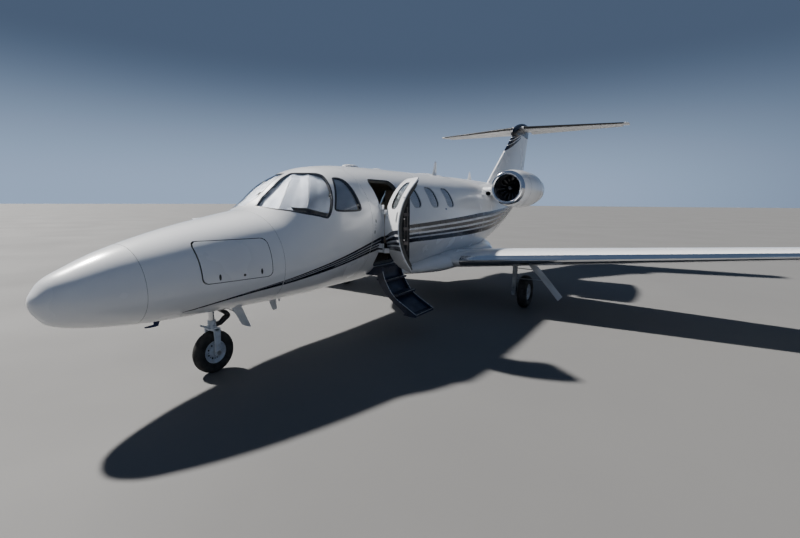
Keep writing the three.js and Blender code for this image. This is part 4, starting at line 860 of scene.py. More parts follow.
def skin_button(s, z, radius, rise, side=1, sink=0.004, sides=14, stretch=1.0):
    """A small round or oval plug set square to the skin, from sink below it to rise above."""
    centre = side_point(np.array(s), np.array(z), side)
    normal = side_point(np.array(s), np.array(z), side, 1.0) - centre
    across = np.cross(normal, [0, 0, 1.0])
    across /= np.linalg.norm(across)
    upward = np.cross(across, normal)
    turn = np.linspace(0, 2 * np.pi, sides, endpoint=False)[:, None]
    circle = radius * (across * np.cos(turn) + upward * np.sin(turn) * stretch)
    return np.stack([centre + circle - normal * sink, centre + circle + normal * rise])


def knuckle_pair(z, low, high, reach, side):
    """A hinge barrel about the door's hinge line, and the strap that joins it to its wall."""
    line = [[HINGE_X, aft(HINGE_S), z + low], [HINGE_X, aft(HINGE_S), z + high]]
    strap = block((HINGE_X - reach, aft(HINGE_S) + side[0], z + low),
                  (HINGE_X + 0.006, aft(HINGE_S) + side[1], z + high))
    return [tube(line, 0.01, 20), strap]


def hinge_web(low, high):
    """A flat web between two heights, which carries the body's edge out to the hinge line."""
    z = np.linspace(low, high, 9)
    outline = np.concatenate([np.column_stack([skin_x(HINGE_S, z) - 0.004, z]),
                              [[HINGE_X - 0.0108, high], [HINGE_X - 0.0108, low]]])
    return plate(outline, "xz", aft(HINGE_S - 0.009), aft(HINGE_S - 0.001))


def hinge_tube(low, high):
    """A round edge on the hinge line between two heights."""
    return tube([[HINGE_X, aft(HINGE_S), low], [HINGE_X, aft(HINGE_S), high]], 0.01, 20)


fixed_hinges = [shape for z in HINGE_HEIGHTS for shape in knuckle_pair(z, 0, 0.06, 0.06, (-0.036, -0.003))]
STRIPE_LOW, STRIPE_HIGH = (float(read_table(rows, 1, HINGE_S)) for rows in (STRIPE_BOTTOM, STRIPE_TOP))
lofts("entry_door_hinges_fixed", fixed_hinges + [hinge_tube(STRIPE_HIGH, 1.6393), hinge_web(1.14, STRIPE_LOW),
                                                 hinge_web(STRIPE_HIGH, 1.76)], WHITE_PAINT,
      slot="painted_skin")
lofts("entry_door_hinge_stripe", [hinge_tube(1.2604, STRIPE_HIGH - 0.0005),
                                  hinge_web(STRIPE_LOW + 0.0005, STRIPE_HIGH - 0.0005)], NAVY_PAINT,
      slot="painted_skin")
door_hinges = [placed(shape, OPENED) for z in HINGE_HEIGHTS
               for shape in knuckle_pair(z, -0.0603, -0.0003, 0.06, (0.006, 0.07))]
lofts("entry_door_hinges_moving", door_hinges, WHITE_PAINT, DOOR_BODY, slot="painted_skin")
# The door stop's two slots are dark raised ovals: their dark is painted shade for the inside of a slot.
slots = [skin_button(s, z, 0.008, 0.0012, stretch=2.9) for s, z in ((3.319, 1.557), (3.292, 1.418))]
lofts("door_stop_slots", slots, DARK_TRIM, slot="cockpit_trim")
pins = [skin_button(3.306, z, 0.007, 0.004) for z in (1.468, 1.506)]
lofts("door_stop_pins", pins + [skin_button(5.388, 1.688, 0.03, 0.003, stretch=0.45)], CHROME,
      slot="gear_metal")
handle = [placed(skin_button(3.965, 1.62, 0.03, 0.0012, stretch=2.2), OPENED)]
lofts("entry_door_handle", handle, BARE_METAL, DOOR_BODY, slot="gear_metal")
latch_pins = [placed(tube([[x, aft(s), z], [x + dx, aft(s) + ds, z]], 0.008, 10), OPENED)
              for x, s, z, dx, ds in [(0.74, 4.012, z, 0, 0.022) for z in (1.1, 1.35, 1.6, 1.85)]]
lofts("entry_door_latch_pins", latch_pins, CHROME, DOOR_BODY, slot="gear_metal")
# The door's inner half is a flat-faced box behind the curved skin, with the latch rods on its free edge
INNER_FACE, INNER_FRONT, INNER_BACK = 0.655, 3.53, 3.988


def inner_ring(z):
    """The inner box at one height: its outer face follows the skin."""
    outline = rounded(INNER_FACE, float(skin_x(3.76, z)) - 0.06, aft(INNER_FRONT), aft(INNER_BACK), 0.002, 2)
    return placed(np.column_stack([outline, np.full(len(outline), z)]), OPENED)


inner_box = np.array([inner_ring(z) for z in np.linspace(1.09, 1.87, 27)])
lofts("entry_door_inner", [inner_box], DARK_TRIM, DOOR_BODY, slot="cockpit_trim")
# A blind behind the door's pane, whose darker grey is painted reflection.
skin("entry_door_blind", *chart_panel(door_window(-0.003)), -0.022, 0.004, DOOR_BLIND_PAINTED_REFLECTION, DOOR_BODY, OPENED,
     "seat_leather")
rods = [placed(tube([[x, aft(INNER_BACK + 0.008), low], [x, aft(INNER_BACK + 0.008), high]], 0.006, 12),
               OPENED)
        for x, low, high in ((0.69, 1.22, 1.74), (0.722, 1.3, 1.66))]
rods += [placed(block((0.676, aft(INNER_BACK - 0.002), z - 0.018),
                      (0.738, aft(INNER_BACK + 0.014), z + 0.018), 0.004), OPENED)
         for z in (1.31, 1.48, 1.65)]
lofts("entry_door_latch_rods", rods, HOT_METAL, DOOR_BODY, slot="gear_metal")
print("entry door made")

# %% [markdown]
# Each baggage door in the nose swings up on two hinges over its top edge. It is held by a pair of
# quarter-turn latches, drawn as dark raised ovals whose dark is painted shade for their slots.
# %% Baggage doors
for side, sign in SIDES:
    body = f"baggage_door_{side}_body"
    panel = chart_panel(baggage_chart(sign, BAGGAGE_PANEL))
    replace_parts(skin(f"baggage_door_{side}_skin", *panel, 0, 0.014, [WHITE_PAINT, PRIMER, DARK_RUBBER], body,
                     slot="painted_skin"), f"baggage_door_{side}")
    # Two dark ovals and a round mark stand for the latches: their dark is painted shade for their recesses.
    latches = [skin_button(s, z, 0.011, 0.0014, sign, stretch=2.6)
               for s, z in ((1.218, 1.112), (1.62, 1.123))]
    latches += [skin_button(1.446, 1.107, 0.012, 0.0014, sign)]
    lofts(f"baggage_latches_{side}", latches, DARK_TRIM, body, slot="cockpit_trim")
print("baggage doors made")

# %% [markdown]
# ## Wing, flaps and ailerons
# A wing is a table of sections from the middle out. Each section is the classic symmetrical
# foil, a polynomial in the share of the chord. The fixed part ends in a hollow round the hinge
# line and each flap or aileron has a round nose in that hollow, as on the real jet.
# %% Foil sections
WING = np.array([[0, 5.42, 2.3, 0.77, 0.33], [0.8, 5.462, 2.138, 0.787, 0.306],
                 [6.95, 5.78, 0.862, 1.303, 0.095], [7.15, 5.85, 0.74, 1.32, 0.04]])
STABILIZER = np.array([[0, 11.8, 1.17, 4.005, 0.105], [2.78, 12.48, 0.5, 4.005, 0.048],
                       [2.87, 12.56, 0.4, 4.005, 0.024]])
FIN = np.array([[2.12, 9.19, 12.34, 0.225], [2.3, 9.43, 12.43, 0.22], [3.9, 11.6, 12.93, 0.15]])
CAP = np.array([[3.69, 11.38, 12.2, 0.06], [3.745, 11.285, 12.32, 0.15], [3.8, 11.27, 12.925, 0.176],
                [3.88, 11.33, 12.945, 0.188], [4.005, 11.59, 12.96, 0.19], [4.09, 11.83, 12.965, 0.166],
                [4.15, 12.08, 12.955, 0.12], [4.19, 12.35, 12.9, 0.044]])
HINGE_SHARE, NOSE_GAP = 0.75, 0.007
FOIL_STEPS = 18


def foil_half(share):
    """Half thickness of the foil for a thickness of one."""
    return 5 * (0.2969 * np.sqrt(share) - 0.126 * share - 0.3516 * share ** 2
                + 0.2843 * share ** 3 - 0.1015 * share ** 4)


def shares(start, end, count=FOIL_STEPS):
    """Shares of the chord, close together at the leading edge: the square of even steps."""
    return start + (end - start) * np.linspace(0, 1, count) ** 2


def whole_section(chord, thick):
    """The full outline, from the leading edge over the top to the trailing edge and back below."""
    share = shares(0, 1)
    top = np.column_stack([chord * share, thick * foil_half(share)])
    return np.concatenate([top, (top * [1, -1])[:0:-1]])


def fixed_section(chord, thick, hinge, lowered, gap):
    """The part ahead of a hinge: foil to the hollow, then an arc of the nose's radius plus gap."""
    half = thick * foil_half(hinge / chord)
    low = lowered * (half - 0.0128)
    radius = half + low - 0.001 + gap
    ahead = np.sqrt(np.maximum(radius ** 2 - np.array([half + low, half - low]) ** 2, 1e-8))
    up_to, down_to = (hinge - ahead) / chord
    turn = np.linspace(np.arcsin(min(1, (half + low) / radius)), -np.arcsin(min(1, (half - low) / radius)),
                       9)[1:-1]
    arc = np.column_stack([hinge - radius * np.cos(turn), -low + radius * np.sin(turn)])
    top, bottom = shares(0, up_to), shares(0, down_to)
    upper = np.column_stack([chord * top, thick * foil_half(top)])
    lower = np.column_stack([chord * bottom, -thick * foil_half(bottom)])[:0:-1]
    return np.concatenate([upper, arc, lower])


def moving_section(chord, thick, hinge, lowered):
    """The part behind a hinge: a round nose about it, then the foil to the trailing edge."""
    half = thick * foil_half(hinge / chord)
    low = lowered * (half - 0.0128)
    radius = half + low - 0.001
    turn = np.linspace(np.pi / 2, -np.arcsin(min(1, (half - low) / radius)), 12)
    arc = np.column_stack([hinge - radius * np.cos(turn), -low + radius * np.sin(turn)])
    share = np.linspace(hinge / chord, 1, 8)[1:]
    upper = np.column_stack([chord * share, thick * foil_half(share)])[::-1]
    start = arc[-1, 0] / chord
    share = np.linspace(max(start, hinge / chord - 0.2), 1, 8)[1:]
    lower = np.column_stack([chord * share, -thick * foil_half(share)])
    return np.concatenate([upper, arc, lower])


def wing_rings(rows, places, section):
    """Rings of a wing: the section at each place out, put at its leading edge and height."""
    rings = []
    for out in places:
        lead, chord, height, thick = (np.interp(out, rows[:, 0], rows[:, k]) for k in range(1, 5))
        flat = section(chord, thick)
        rings.append(np.column_stack([np.full(len(flat), out), aft(lead) + flat[:, 0], height + flat[:, 1]]))
    return np.array(rings)


def hinged(kind, lowered):
    """The section ahead of a hinge or behind it, with the hinge at its share of the chord."""
    if kind == "fixed":
        return lambda chord, thick: fixed_section(chord, thick, HINGE_SHARE * chord, lowered, NOSE_GAP)
    return lambda chord, thick: moving_section(chord, thick, HINGE_SHARE * chord, lowered)


FLAP_SPAN, AILERON_SPAN, END_GAP = (0.96, 4.18), (4.24, 6.78), 0.014
ROOT = 0.6
wing_parts = [
    wing_rings(WING, [ROOT, 0.8, FLAP_SPAN[0] - END_GAP], whole_section),
    wing_rings(WING, [FLAP_SPAN[0] - END_GAP, 2.5, FLAP_SPAN[1] + END_GAP], hinged("fixed", 1)),
    wing_rings(WING, [FLAP_SPAN[1] + END_GAP, AILERON_SPAN[0] - END_GAP], whole_section),
    wing_rings(WING, [AILERON_SPAN[0] - END_GAP, 5.5, AILERON_SPAN[1] + END_GAP], hinged("fixed", 0)),
    wing_rings(WING, [AILERON_SPAN[1] + END_GAP, 6.95, 7.02, 7.08, 7.12, 7.15], whole_section)]
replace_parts(lofts("wing_skin", both_sides(wing_parts), WHITE_PAINT, slot="painted_skin"), "wing")
for surface, span, lowered in (("flap", FLAP_SPAN, 1), ("aileron", AILERON_SPAN, 0)):
    for side, sign in SIDES:
        rings = wing_rings(WING, [span[0], sum(span) / 2, span[1]], hinged("moving", lowered)) * [sign, 1, 1]
        node = f"{surface}_{side}"
        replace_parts(lofts(f"{node}_skin", [rings], WHITE_PAINT, f"{node}_body", slot="painted_skin"), node)
print("wing, flaps and ailerons made")


# %% Polished leading edge and the tail surfaces
def edge_strip(rows, places, reach, lift=0.0008, under=0.0006):
    """A skin round the leading edge: the foil's first share, moved out, and back just inside."""
    def section(chord, thick):
        share = shares(0, reach, 9)
        top = np.column_stack([chord * share, thick * foil_half(share)])
        line = np.concatenate([top[::-1], (top * [1, -1])[1:]])
        ahead = np.gradient(line, axis=0)
        normal = np.column_stack([ahead[:, 1], -ahead[:, 0]])
        normal *= -1 / np.linalg.norm(normal, axis=1, keepdims=True)
        normal = np.where((normal[:, :1] > 0.2) & (line[:, :1] < 1e-6), -normal, normal)
        return np.concatenate([line + normal * lift, (line - normal * under)[::-1]])
    return wing_rings(rows, places, section)


def leading_edge(name, rows, places, reach, finish, slot):
    """The strip round the leading edge of both sides, as one piece."""
    return lofts(name, both_sides([edge_strip(rows, places, reach)]), finish, slot=slot)


leading_edge("wing_leading_edge", WING, [1.02, 2, 4, 6.9], 0.045, POLISHED, "polished_metal")
leading_edge("tail_boots", STABILIZER, [0.16, 1.4, 2.74], 0.1, BOOT, "tyre_rubber")

ELEVATOR_SPAN = (0.13, 2.7)
centre = wing_rings(STABILIZER, [ELEVATOR_SPAN[0] - END_GAP], whole_section)[0]
stabilizer_parts = [np.stack([centre * [-1, 1, 1], centre * [0, 1, 1], centre])] + both_sides([
    wing_rings(STABILIZER, [ELEVATOR_SPAN[0] - END_GAP, 1.4, ELEVATOR_SPAN[1] + END_GAP], hinged("fixed", 0)),
    wing_rings(STABILIZER, [ELEVATOR_SPAN[1] + END_GAP, 2.78, 2.83, 2.87], whole_section)])


def fin_rings(heights, section):
    """Rings of the fin: sections lie flat, with their thickness across the jet."""
    rings = []
    for z in heights:
        lead, trail, thick = (np.interp(z, FIN[:, 0], FIN[:, k]) for k in (1, 2, 3))
        flat = section(z, trail - lead, thick)
        rings.append(np.column_stack([flat[:, 1], aft(lead) + flat[:, 0], np.full(len(flat), z)]))
    return np.array(rings)


RUDDER_SPAN = (2.26, 3.78)


def rudder_distance(z):
    """Distance from the leading edge to the rudder's hinge line at a height."""
    hinge = 11.86 + (12.39 - 11.86) * (z - RUDDER_SPAN[0]) / (RUDDER_SPAN[1] - RUDDER_SPAN[0])
    return hinge - np.interp(z, FIN[:, 0], FIN[:, 1])


def rudder_section(kind):
    """The fin's section ahead of the rudder's hinge or behind it."""
    if kind == "fixed":
        return lambda z, chord, thick: fixed_section(chord, thick, rudder_distance(z), 0, NOSE_GAP)
    return lambda z, chord, thick: moving_section(chord, thick, rudder_distance(z), 0)


def plain_fin(z, chord, thick):
    """The fin's whole section, which is the same formula at any height."""
    return whole_section(chord, thick)


low_gap, high_gap = RUDDER_SPAN[0] - 0.008, RUDDER_SPAN[1] + 0.02
fin_parts = [fin_rings([2.12, 2.2, low_gap], plain_fin),
             fin_rings([low_gap, 2.6, 3.0, 3.4, high_gap], rudder_section("fixed"))]


def cap_rings(heights):
    """Rings of the cap: its rows joined by smooth curves, and its tail kept off the rudder."""
    rings = []
    for z in heights:
        lead, trail, thick = (read_table(CAP, column, z) for column in (1, 2, 3))
        trail = trail if z > high_gap else min(trail, 12.33)
        flat = whole_section(trail - lead, thick)
        rings.append(np.column_stack([flat[:, 1], aft(lead) + flat[:, 0], np.full(len(flat), z)]))
    return np.array(rings)


cap_heights = np.concatenate([[3.69, 3.705, 3.725, 3.745, 3.77, high_gap],
                              [high_gap + 0.0005, 3.84, 3.88, 3.92, 3.96], np.linspace(4.0, 4.19, 12)])
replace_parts(lofts("fin_skin", fin_parts, WHITE_PAINT, slot="painted_skin"), "fin")
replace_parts(lofts("rudder_skin", [fin_rings([RUDDER_SPAN[0], 3.0, RUDDER_SPAN[1]], rudder_section("moving"))],
                  WHITE_PAINT, "rudder_body", slot="painted_skin"), "rudder")
lofts("fin_cap", [cap_rings(cap_heights)], NAVY_PAINT, slot="painted_skin")


def film(grid, lift=0.0008, sink=0.0008):
    """Rings of a thin film over a grid of surface points: out along the normals, and back inside."""
    grid = np.asarray(grid, float)
    normals = unit(np.cross(np.gradient(grid, axis=0), np.gradient(grid, axis=1)))
    return np.concatenate([grid + normals * lift, (grid - normals * sink)[:, ::-1]], axis=1)


def fin_surface(z, turn):
    """A point round the fin's nose: the turn's square is the share of the chord, its sign the side."""
    lead, trail, thick = (np.interp(z, FIN[:, 0], FIN[:, k]) for k in (1, 2, 3))
    share = turn ** 2
    return np.stack([np.sign(turn) * thick * foil_half(share), aft(lead + share * (trail - lead)), z], -1)


# Rows are one stripe under the cap: its heights at the leading edge, its rise and its end on the chord
FIN_STRIPES = [(3.22, 3.385, 0.48, 0.37), (3.405, 3.535, 0.355, 0.33), (3.555, 3.645, 0.235, 0.28),
               (3.665, 3.74, 0.1, 0.22)]
fin_stripes = []
for bottom, top, rise, end in FIN_STRIPES:
    turn, height = np.meshgrid(np.linspace(-np.sqrt(end), np.sqrt(end), 41), np.linspace(0, 1, 5),
                               indexing="ij")
    slope = rise * turn ** 2 / end
    width = (top - bottom) * (1 - 0.8 * turn ** 2 / end)
    fin_stripes.append(film(fin_surface(bottom + slope + width * height, turn)))
lofts("fin_stripes", fin_stripes, NAVY_PAINT, slot="painted_skin")
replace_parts(lofts("stabilizer_skin", stabilizer_parts, WHITE_PAINT, slot="painted_skin"), "stabilizer")
DROOP = np.radians(12)


def drooped(rings):
    """The elevators hang down when parked: turned about their hinge line by the droop."""
    ends = [np.array([out, aft(np.interp(out, STABILIZER[:, 0], STABILIZER[:, 1])
                               + HINGE_SHARE * np.interp(out, STABILIZER[:, 0], STABILIZER[:, 2])), 4.005])
            for out in ELEVATOR_SPAN]
    x, y, z = (ends[0] - ends[1]) / np.linalg.norm(ends[0] - ends[1])
    cross = np.array([[0, -z, y], [z, 0, -x], [-y, x, 0]])
    turn = np.eye(3) + np.sin(DROOP) * cross + (1 - np.cos(DROOP)) * cross @ cross
    return (rings - ends[0]) @ turn.T + ends[0]


for side, sign in SIDES:
    rings = drooped(wing_rings(STABILIZER, [ELEVATOR_SPAN[0], 1.4, ELEVATOR_SPAN[1]], hinged("moving", 0)))
    rings = rings * [sign, 1, 1]
    node = f"elevator_{side}"
    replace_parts(lofts(f"{node}_skin", [rings], WHITE_PAINT, f"{node}_body", slot="painted_skin"), node)
print("tail surfaces made")

# %% [markdown]
# ## Engines
# Each engine is a body of revolution: a polished intake lip, a white barrel that swells and then
# tapers, a fan with a round spinner, and the dark core behind it. The solids' profiles are short
# polylines. Here the same points are joined by a smooth curve that passes through them.
# %% Smooth profiles
def smooth(points, steps=6):
    """A curve through the points: on each span, the cubic whose end slopes are those of its neighbours."""
    points = np.asarray(points, float)
    before = np.vstack([2 * points[0] - points[1], points[:-1]])
    after = np.vstack([points[1:], 2 * points[-1] - points[-2]])
    slope = (after - before) / 2
    t = np.linspace(0, 1, steps, endpoint=False)[None, :, None]
    a, b, m, n = points[:-1, None], points[1:, None], slope[:-1, None], slope[1:, None]
    curve = (2 * t ** 3 - 3 * t ** 2 + 1) * a + (t ** 3 - 2 * t ** 2 + t) * m \
        + (3 * t ** 2 - 2 * t ** 3) * b + (t ** 3 - t ** 2) * n
    return np.vstack([curve.reshape(-1, points.shape[1]), points[-1]])


def drum(profile, centre, axis="x", sides=48):
    """A solid of revolution from an open profile that starts and ends on the axis."""
    rings = np.swapaxes(turned(profile, centre, axis, sides), 0, 1)
    keep = np.asarray(profile)[:, 0] > 1e-6
    return rings[keep]


ENGINE_X, ENGINE_S, ENGINE_Z = 1.13, 7.5, 2.1
LIP = [[0.266, 0.12], [0.262, 0.07], [0.27, 0.022], [0.3, 0.0], [0.328, 0.018], [0.345, 0.06], [0.354, 0.12]]
NACELLE_OUTSIDE = [[0.354, 0.1203], [0.38, 0.3], [0.398, 0.65], [0.4, 0.95], [0.382, 1.4], [0.325, 1.8],
                   [0.268, 2.05]]
NACELLE_INSIDE = [[0.254, 2.05], [0.268, 1.8], [0.292, 1.3], [0.286, 0.8], [0.269, 0.48], [0.266, 0.1203]]
CORE = [[0.15, 0.49], [0.195, 0.58], [0.212, 1.1], [0.18, 1.48], [0.12, 1.8], [0.05, 2.0], [0.012, 2.038]]
SPINNER = [[0.004, 0.201], [0.022, 0.208], [0.04, 0.222], [0.066, 0.252], [0.084, 0.29], [0.098, 0.35],
           [0.098, 0.429]]
FAN_AT, FAN_TIP, FAN_BLADES, CORE_VANES = 0.36, 0.252, 15, 9
# The duct's metal is drawn near black as painted shade, for the shade inside the intake.
SHADE_DARKENED_DUCT_METAL = worn("intake_duct_painted_shade", (0.12, 0.12, 0.13), (0.07, 0.07, 0.08), 7, (0.25, 0.4), 60, 0.08,
                  metallic=0.7)


def fan_blade(turn, spans=7):
    """Rings from root to tip: a thin lens that twists from steep to flat and widens outwards."""
    rings = []
    for share in np.linspace(0, 1, spans):
        radius = 0.085 + (FAN_TIP - 0.085) * share
        chord, angle, thick = 0.06 + 0.034 * share, 0.45 + 0.55 * share, 0.0075 - 0.0045 * share
        along = np.linspace(-1, 1, 9)
        camber = 0.1 * chord * (1 - along ** 2)
        half = thick / 2 * np.sqrt(np.maximum(0, 1 - along ** 2)) + 0.0004
        upper = np.column_stack([along * chord / 2, camber + half])
        lower = np.column_stack([along * chord / 2, camber - half])
        flat = np.concatenate([upper, lower[::-1]])
        axial = flat[:, 0] * np.cos(angle) - flat[:, 1] * np.sin(angle)
        across = flat[:, 0] * np.sin(angle) + flat[:, 1] * np.cos(angle)
        bend = turn + across / radius
        rings.append(np.column_stack([radius * np.cos(bend), FAN_AT + axial, radius * np.sin(bend)]))
    return np.array(rings)


def core_vane(turn, middle):
    """A flat vane between the core and the duct: a lozenge swept out from one radius to another."""
    wide = np.array([np.cos(turn), 0, np.sin(turn)])
    tall = np.array([-np.sin(turn), 0, np.cos(turn)])
    lozenge = np.outer([0, 1, 0, -1], tall * 0.006)
    along = np.outer([-1, 0, 1, 0], [0, 0.055, 0])
    return np.array([middle + wide * radius + np.array([0, 0.6, 0]) + lozenge + along
                     for radius in (0.14, 0.274)])


def joint_band(at, middle, width=0.0022, lift=0.0007):
    """A dark joint line round the nacelle, as a thin hoop on its outside."""
    line = smooth(NACELLE_OUTSIDE, 12)
    radius = line[np.argmin(np.abs(line[:, 1] - at)), 0]
    ring = [[radius - 0.003, at - width], [radius + lift, at - width * 0.7],
            [radius + lift, at + width * 0.7], [radius - 0.003, at + width]]
    return ("hoop", turned(ring, middle, "y", 96))


for side, sign in SIDES:
    middle = np.array([sign * ENGINE_X, aft(ENGINE_S), ENGINE_Z])
    lip_profile = np.vstack([smooth(LIP), [[0.35, 0.1198], [0.27, 0.1198]]])
    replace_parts(lofts(f"intake_lip_{side}_skin", [("hoop", turned(lip_profile, middle, "y", 96))], POLISHED,
                      slot="polished_metal"), f"intake_lip_{side}")
    barrel = np.vstack([smooth(NACELLE_OUTSIDE), smooth(NACELLE_INSIDE)])
    shell = turned(barrel, middle, "y", 96)
    piece = lofts(f"nacelle_{side}_skin", [("hoop", shell)], [WHITE_PAINT, SHADE_DARKENED_DUCT_METAL], slot="painted_skin")
    centres = np.array([polygon.center[:] for polygon in piece.data.polygons]) - middle
    radius = np.hypot(centres[:, 0], centres[:, 2])
    outside = np.interp(centres[:, 1], np.array(NACELLE_OUTSIDE)[:, 1], np.array(NACELLE_OUTSIDE)[:, 0])
    # The inner wall and the aft end take the near-black duct metal, which is painted shade.
    inner_wall = (radius < outside - 0.02) | (centres[:, 1] > 2.046)
    piece.data.polygons.foreach_set("material_index", inner_wall.astype(np.int32))
    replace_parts(piece, f"nacelle_{side}")
    fan_parts = [drum(smooth(SPINNER, 4), middle, "y", 48)]
    fan_parts += [fan_blade(2 * np.pi * n / FAN_BLADES) + middle for n in range(FAN_BLADES)]
    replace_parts(lofts(f"fan_{side}_rotor", fan_parts, SHADE_DARKENED_FAN_METAL, f"fan_{side}_body", slot="fan_metal"),
                f"fan_{side}")
    hub = [[0.001, 0.4305], [0.034, 0.4305], [0.034, 0.48]]
    core_parts = [drum(np.vstack([hub, smooth(CORE)]), middle, "y", 48)]
    core_parts += [core_vane(2 * np.pi * n / CORE_VANES, middle) for n in range(CORE_VANES)]
    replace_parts(lofts(f"engine_core_{side}_body", core_parts, HOT_METAL, slot="engine_metal"),
                f"engine_core_{side}")
    joints = [joint_band(at, middle) for at in (0.46, 1.3, 1.86)]
    lofts(f"nacelle_{side}_joints", joints, DARK_RUBBER, slot="cockpit_trim")
    tip = [[0.2535, 2.052], [0.2688, 2.052], [0.277, 2.01], [0.2745, 2.004], [0.26, 2.0]]
    lofts(f"nozzle_{side}_rim", [("hoop", turned(tip, middle, "y", 96))], BARE_METAL, slot="polished_metal")
print("engines made")

# %% [markdown]
# A pylon is a short stub wing between the body and the nacelle. Its ends run into both, and a small
# air scoop stands under its leading edge.
# %% Pylons
PYLON = np.array([[0.25, 7.68, 1.9, 2.05, 0.19], [1.05, 7.72, 1.8, 2.095, 0.17]])
# Each row is one oval of the scoop, from its root forward to the lip and back into the mouth:
# behind the nose, out, height, half width, half height
SCOOP = [(8.25, 0.695, 2.04, 0.04, 0.03), (8.05, 0.695, 2.018, 0.053, 0.043),
         (7.9, 0.695, 2.002, 0.062, 0.052), (7.74, 0.695, 1.994, 0.064, 0.051),
         (7.668, 0.695, 1.992, 0.063, 0.049), (7.652, 0.695, 1.992, 0.06, 0.046),
         (7.652, 0.695, 1.992, 0.057, 0.043), (7.668, 0.695, 1.992, 0.054, 0.04),
         (7.72, 0.695, 1.994, 0.051, 0.038), (7.8, 0.695, 1.998, 0.048, 0.036)]
MOUTH_FROM, OVAL_SIDES = 7, 32


def oval_rings(rows, sides=OVAL_SIDES):
    """Upright ovals along the body: x = out + half cos(turn), z = height + high sin(turn)."""
    turn = np.linspace(0, 2 * np.pi, sides, endpoint=False)
    return np.array([np.column_stack([x + half * np.cos(turn), np.full(sides, aft(s)),
                                      z + high * np.sin(turn)])
                     for s, x, z, half, high in rows])


for side, sign in SIDES:
    strut = wing_rings(PYLON, [0.42, 0.6, 0.8], whole_section) * [sign, 1, 1]
    scoop = oval_rings(SCOOP) * [sign, 1, 1]
    piece = lofts(f"pylon_{side}_skin", [strut, scoop], [WHITE_PAINT, DARK_TRIM], slot="painted_skin")
    # The scoop's mouth and the cap that closes it are dark trim, painted shade for the inside of the inlet.
    marks = np.zeros(len(piece.data.polygons), np.int32)
    marks[-2 - (len(SCOOP) - MOUTH_FROM) * OVAL_SIDES:-2] = 1
    marks[-1] = 1
    piece.data.polygons.foreach_set("material_index", marks)
    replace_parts(piece, f"pylon_{side}")
print("pylons made")

# %% [markdown]
# ## Belly fairing
# The fairing is a soft pod round the wing's middle. Each section is a squarish oval, and only the
# part of it outside the body is kept, closed along the body's skin.
# %% Fairing
FAIRING = np.array([[4.5, 0.2, 0.65, 0.7], [4.9, 0.62, 0.6, 0.83], [5.5, 0.9, 0.575, 0.94],
                    [6.5, 0.93, 0.57, 0.98], [7.4, 0.9, 0.575, 0.985], [8.1, 0.64, 0.69, 0.96],
                    [8.7, 0.26, 0.88, 0.96]])


def oval(s, turn, power=0.75):
    """A squarish oval: sine and cosine to a power below one, in the table's width and height."""
    half, bottom, top = (read_table(FAIRING, column, s) for column in (1, 2, 3))
    x = half * np.sign(np.cos(turn)) * np.abs(np.cos(turn)) ** power
    share = 0.5 + np.sign(np.sin(turn)) * np.abs(np.sin(turn)) ** power / 2
    return x, bottom + (top - bottom) * share


def outside_body(s, x, z):
    """True where the sum of the superellipse's two terms is over one."""
    half, middle, rise, drop, roundness = body_shape(s)
    up = (z - middle) / np.where(z > middle, rise, drop)
    return np.abs(x / half) ** roundness + np.abs(up) ** roundness > 1


def resampled(line, count):
    """So many points at even distances along an open line."""
    distance = np.concatenate([[0], np.cumsum(np.linalg.norm(np.diff(line, axis=0), axis=1))])
    places = np.linspace(0, distance[-1], count)
    return np.column_stack([np.interp(places, distance, line[:, k]) for k in range(line.shape[1])])


FAIRING_POINTS = 41
fairing_rings = []
for s in np.linspace(4.52, 8.66, 60):
    turn = np.linspace(0.6, -np.pi - 0.6, 600)
    x, z = oval(s, turn)
    free = outside_body(s, x, z)
    if free.sum() < 12:
        continue
    first, last = np.argmax(free), len(free) - 1 - np.argmax(free[::-1])
    outer = resampled(np.column_stack([x, z])[first:last + 1], FAIRING_POINTS)
    ends = [float(turn_at(np.array(s), np.array(z[k]), np.sign(x[k]))) for k in (last, first)]
    ends[0] = ends[0] - 2 * np.pi if ends[0] > 0 else ends[0]
    back_turn = np.linspace(*ends, FAIRING_POINTS)
    places = np.full(FAIRING_POINTS, s)
    back = body_point(places, back_turn) - body_normal(places, back_turn) * 0.012
    front = np.column_stack([outer[:, 0], aft(places), outer[:, 1]])
    fairing_rings.append(np.concatenate([front, back]))
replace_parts(lofts("belly_fairing_skin", [np.array(fairing_rings)], WHITE_PAINT, slot="painted_skin"),
            "belly_fairing")
print("fairing rings", len(fairing_rings))

# %% [markdown]
# ## Landing gear
# The tyres have four rain grooves, worn flat in the middle. The rims are cast in two halves, painted
# a pale blue, with a ring of bolts round the hub and a dark disc between each two, painted shade for a
# hole. One round chromed piston carries the nose wheel in a fork, and a folding link behind it steers it.
# %% Wheels
NOSE_S, MAIN_X, MAIN_S, RIM_BOLTS = 1.48, 1.98, 6.15, 8
NOSE_WHEEL, MAIN_WHEEL = dict(radius=0.227, half=0.056, rim=0.118), dict(radius=0.28, half=0.082, rim=0.132)


def tyre_profile(radius, half, rim):
    """Half section from the bead to the crown, with grooves, and its mirror."""
    side = smooth([[rim + 0.0003, half * 0.62], [rim + half * 0.22, half * 0.8],
                   [rim + half * 0.5, half * 0.93], [radius - half * 0.8, half],
                   [radius - half * 0.42, half * 0.9], [radius - half * 0.17, half * 0.66],
                   [radius - half * 0.07, half * 0.48]], 4)
    crown = []
    for place in (0.4, 0.14):
        reach = radius - half * 0.16 * place ** 2 * 2
        crown += [[reach, half * (place + 0.03)], [reach - 0.006, half * (place + 0.02)],
                  [reach - 0.006, half * (place - 0.02)], [reach, half * (place - 0.03)]]
    crown += [[radius, 0.0]]
    right = np.vstack([side, crown])
    left = right[:-1][::-1] * [1, -1]
    return np.vstack([right, left])


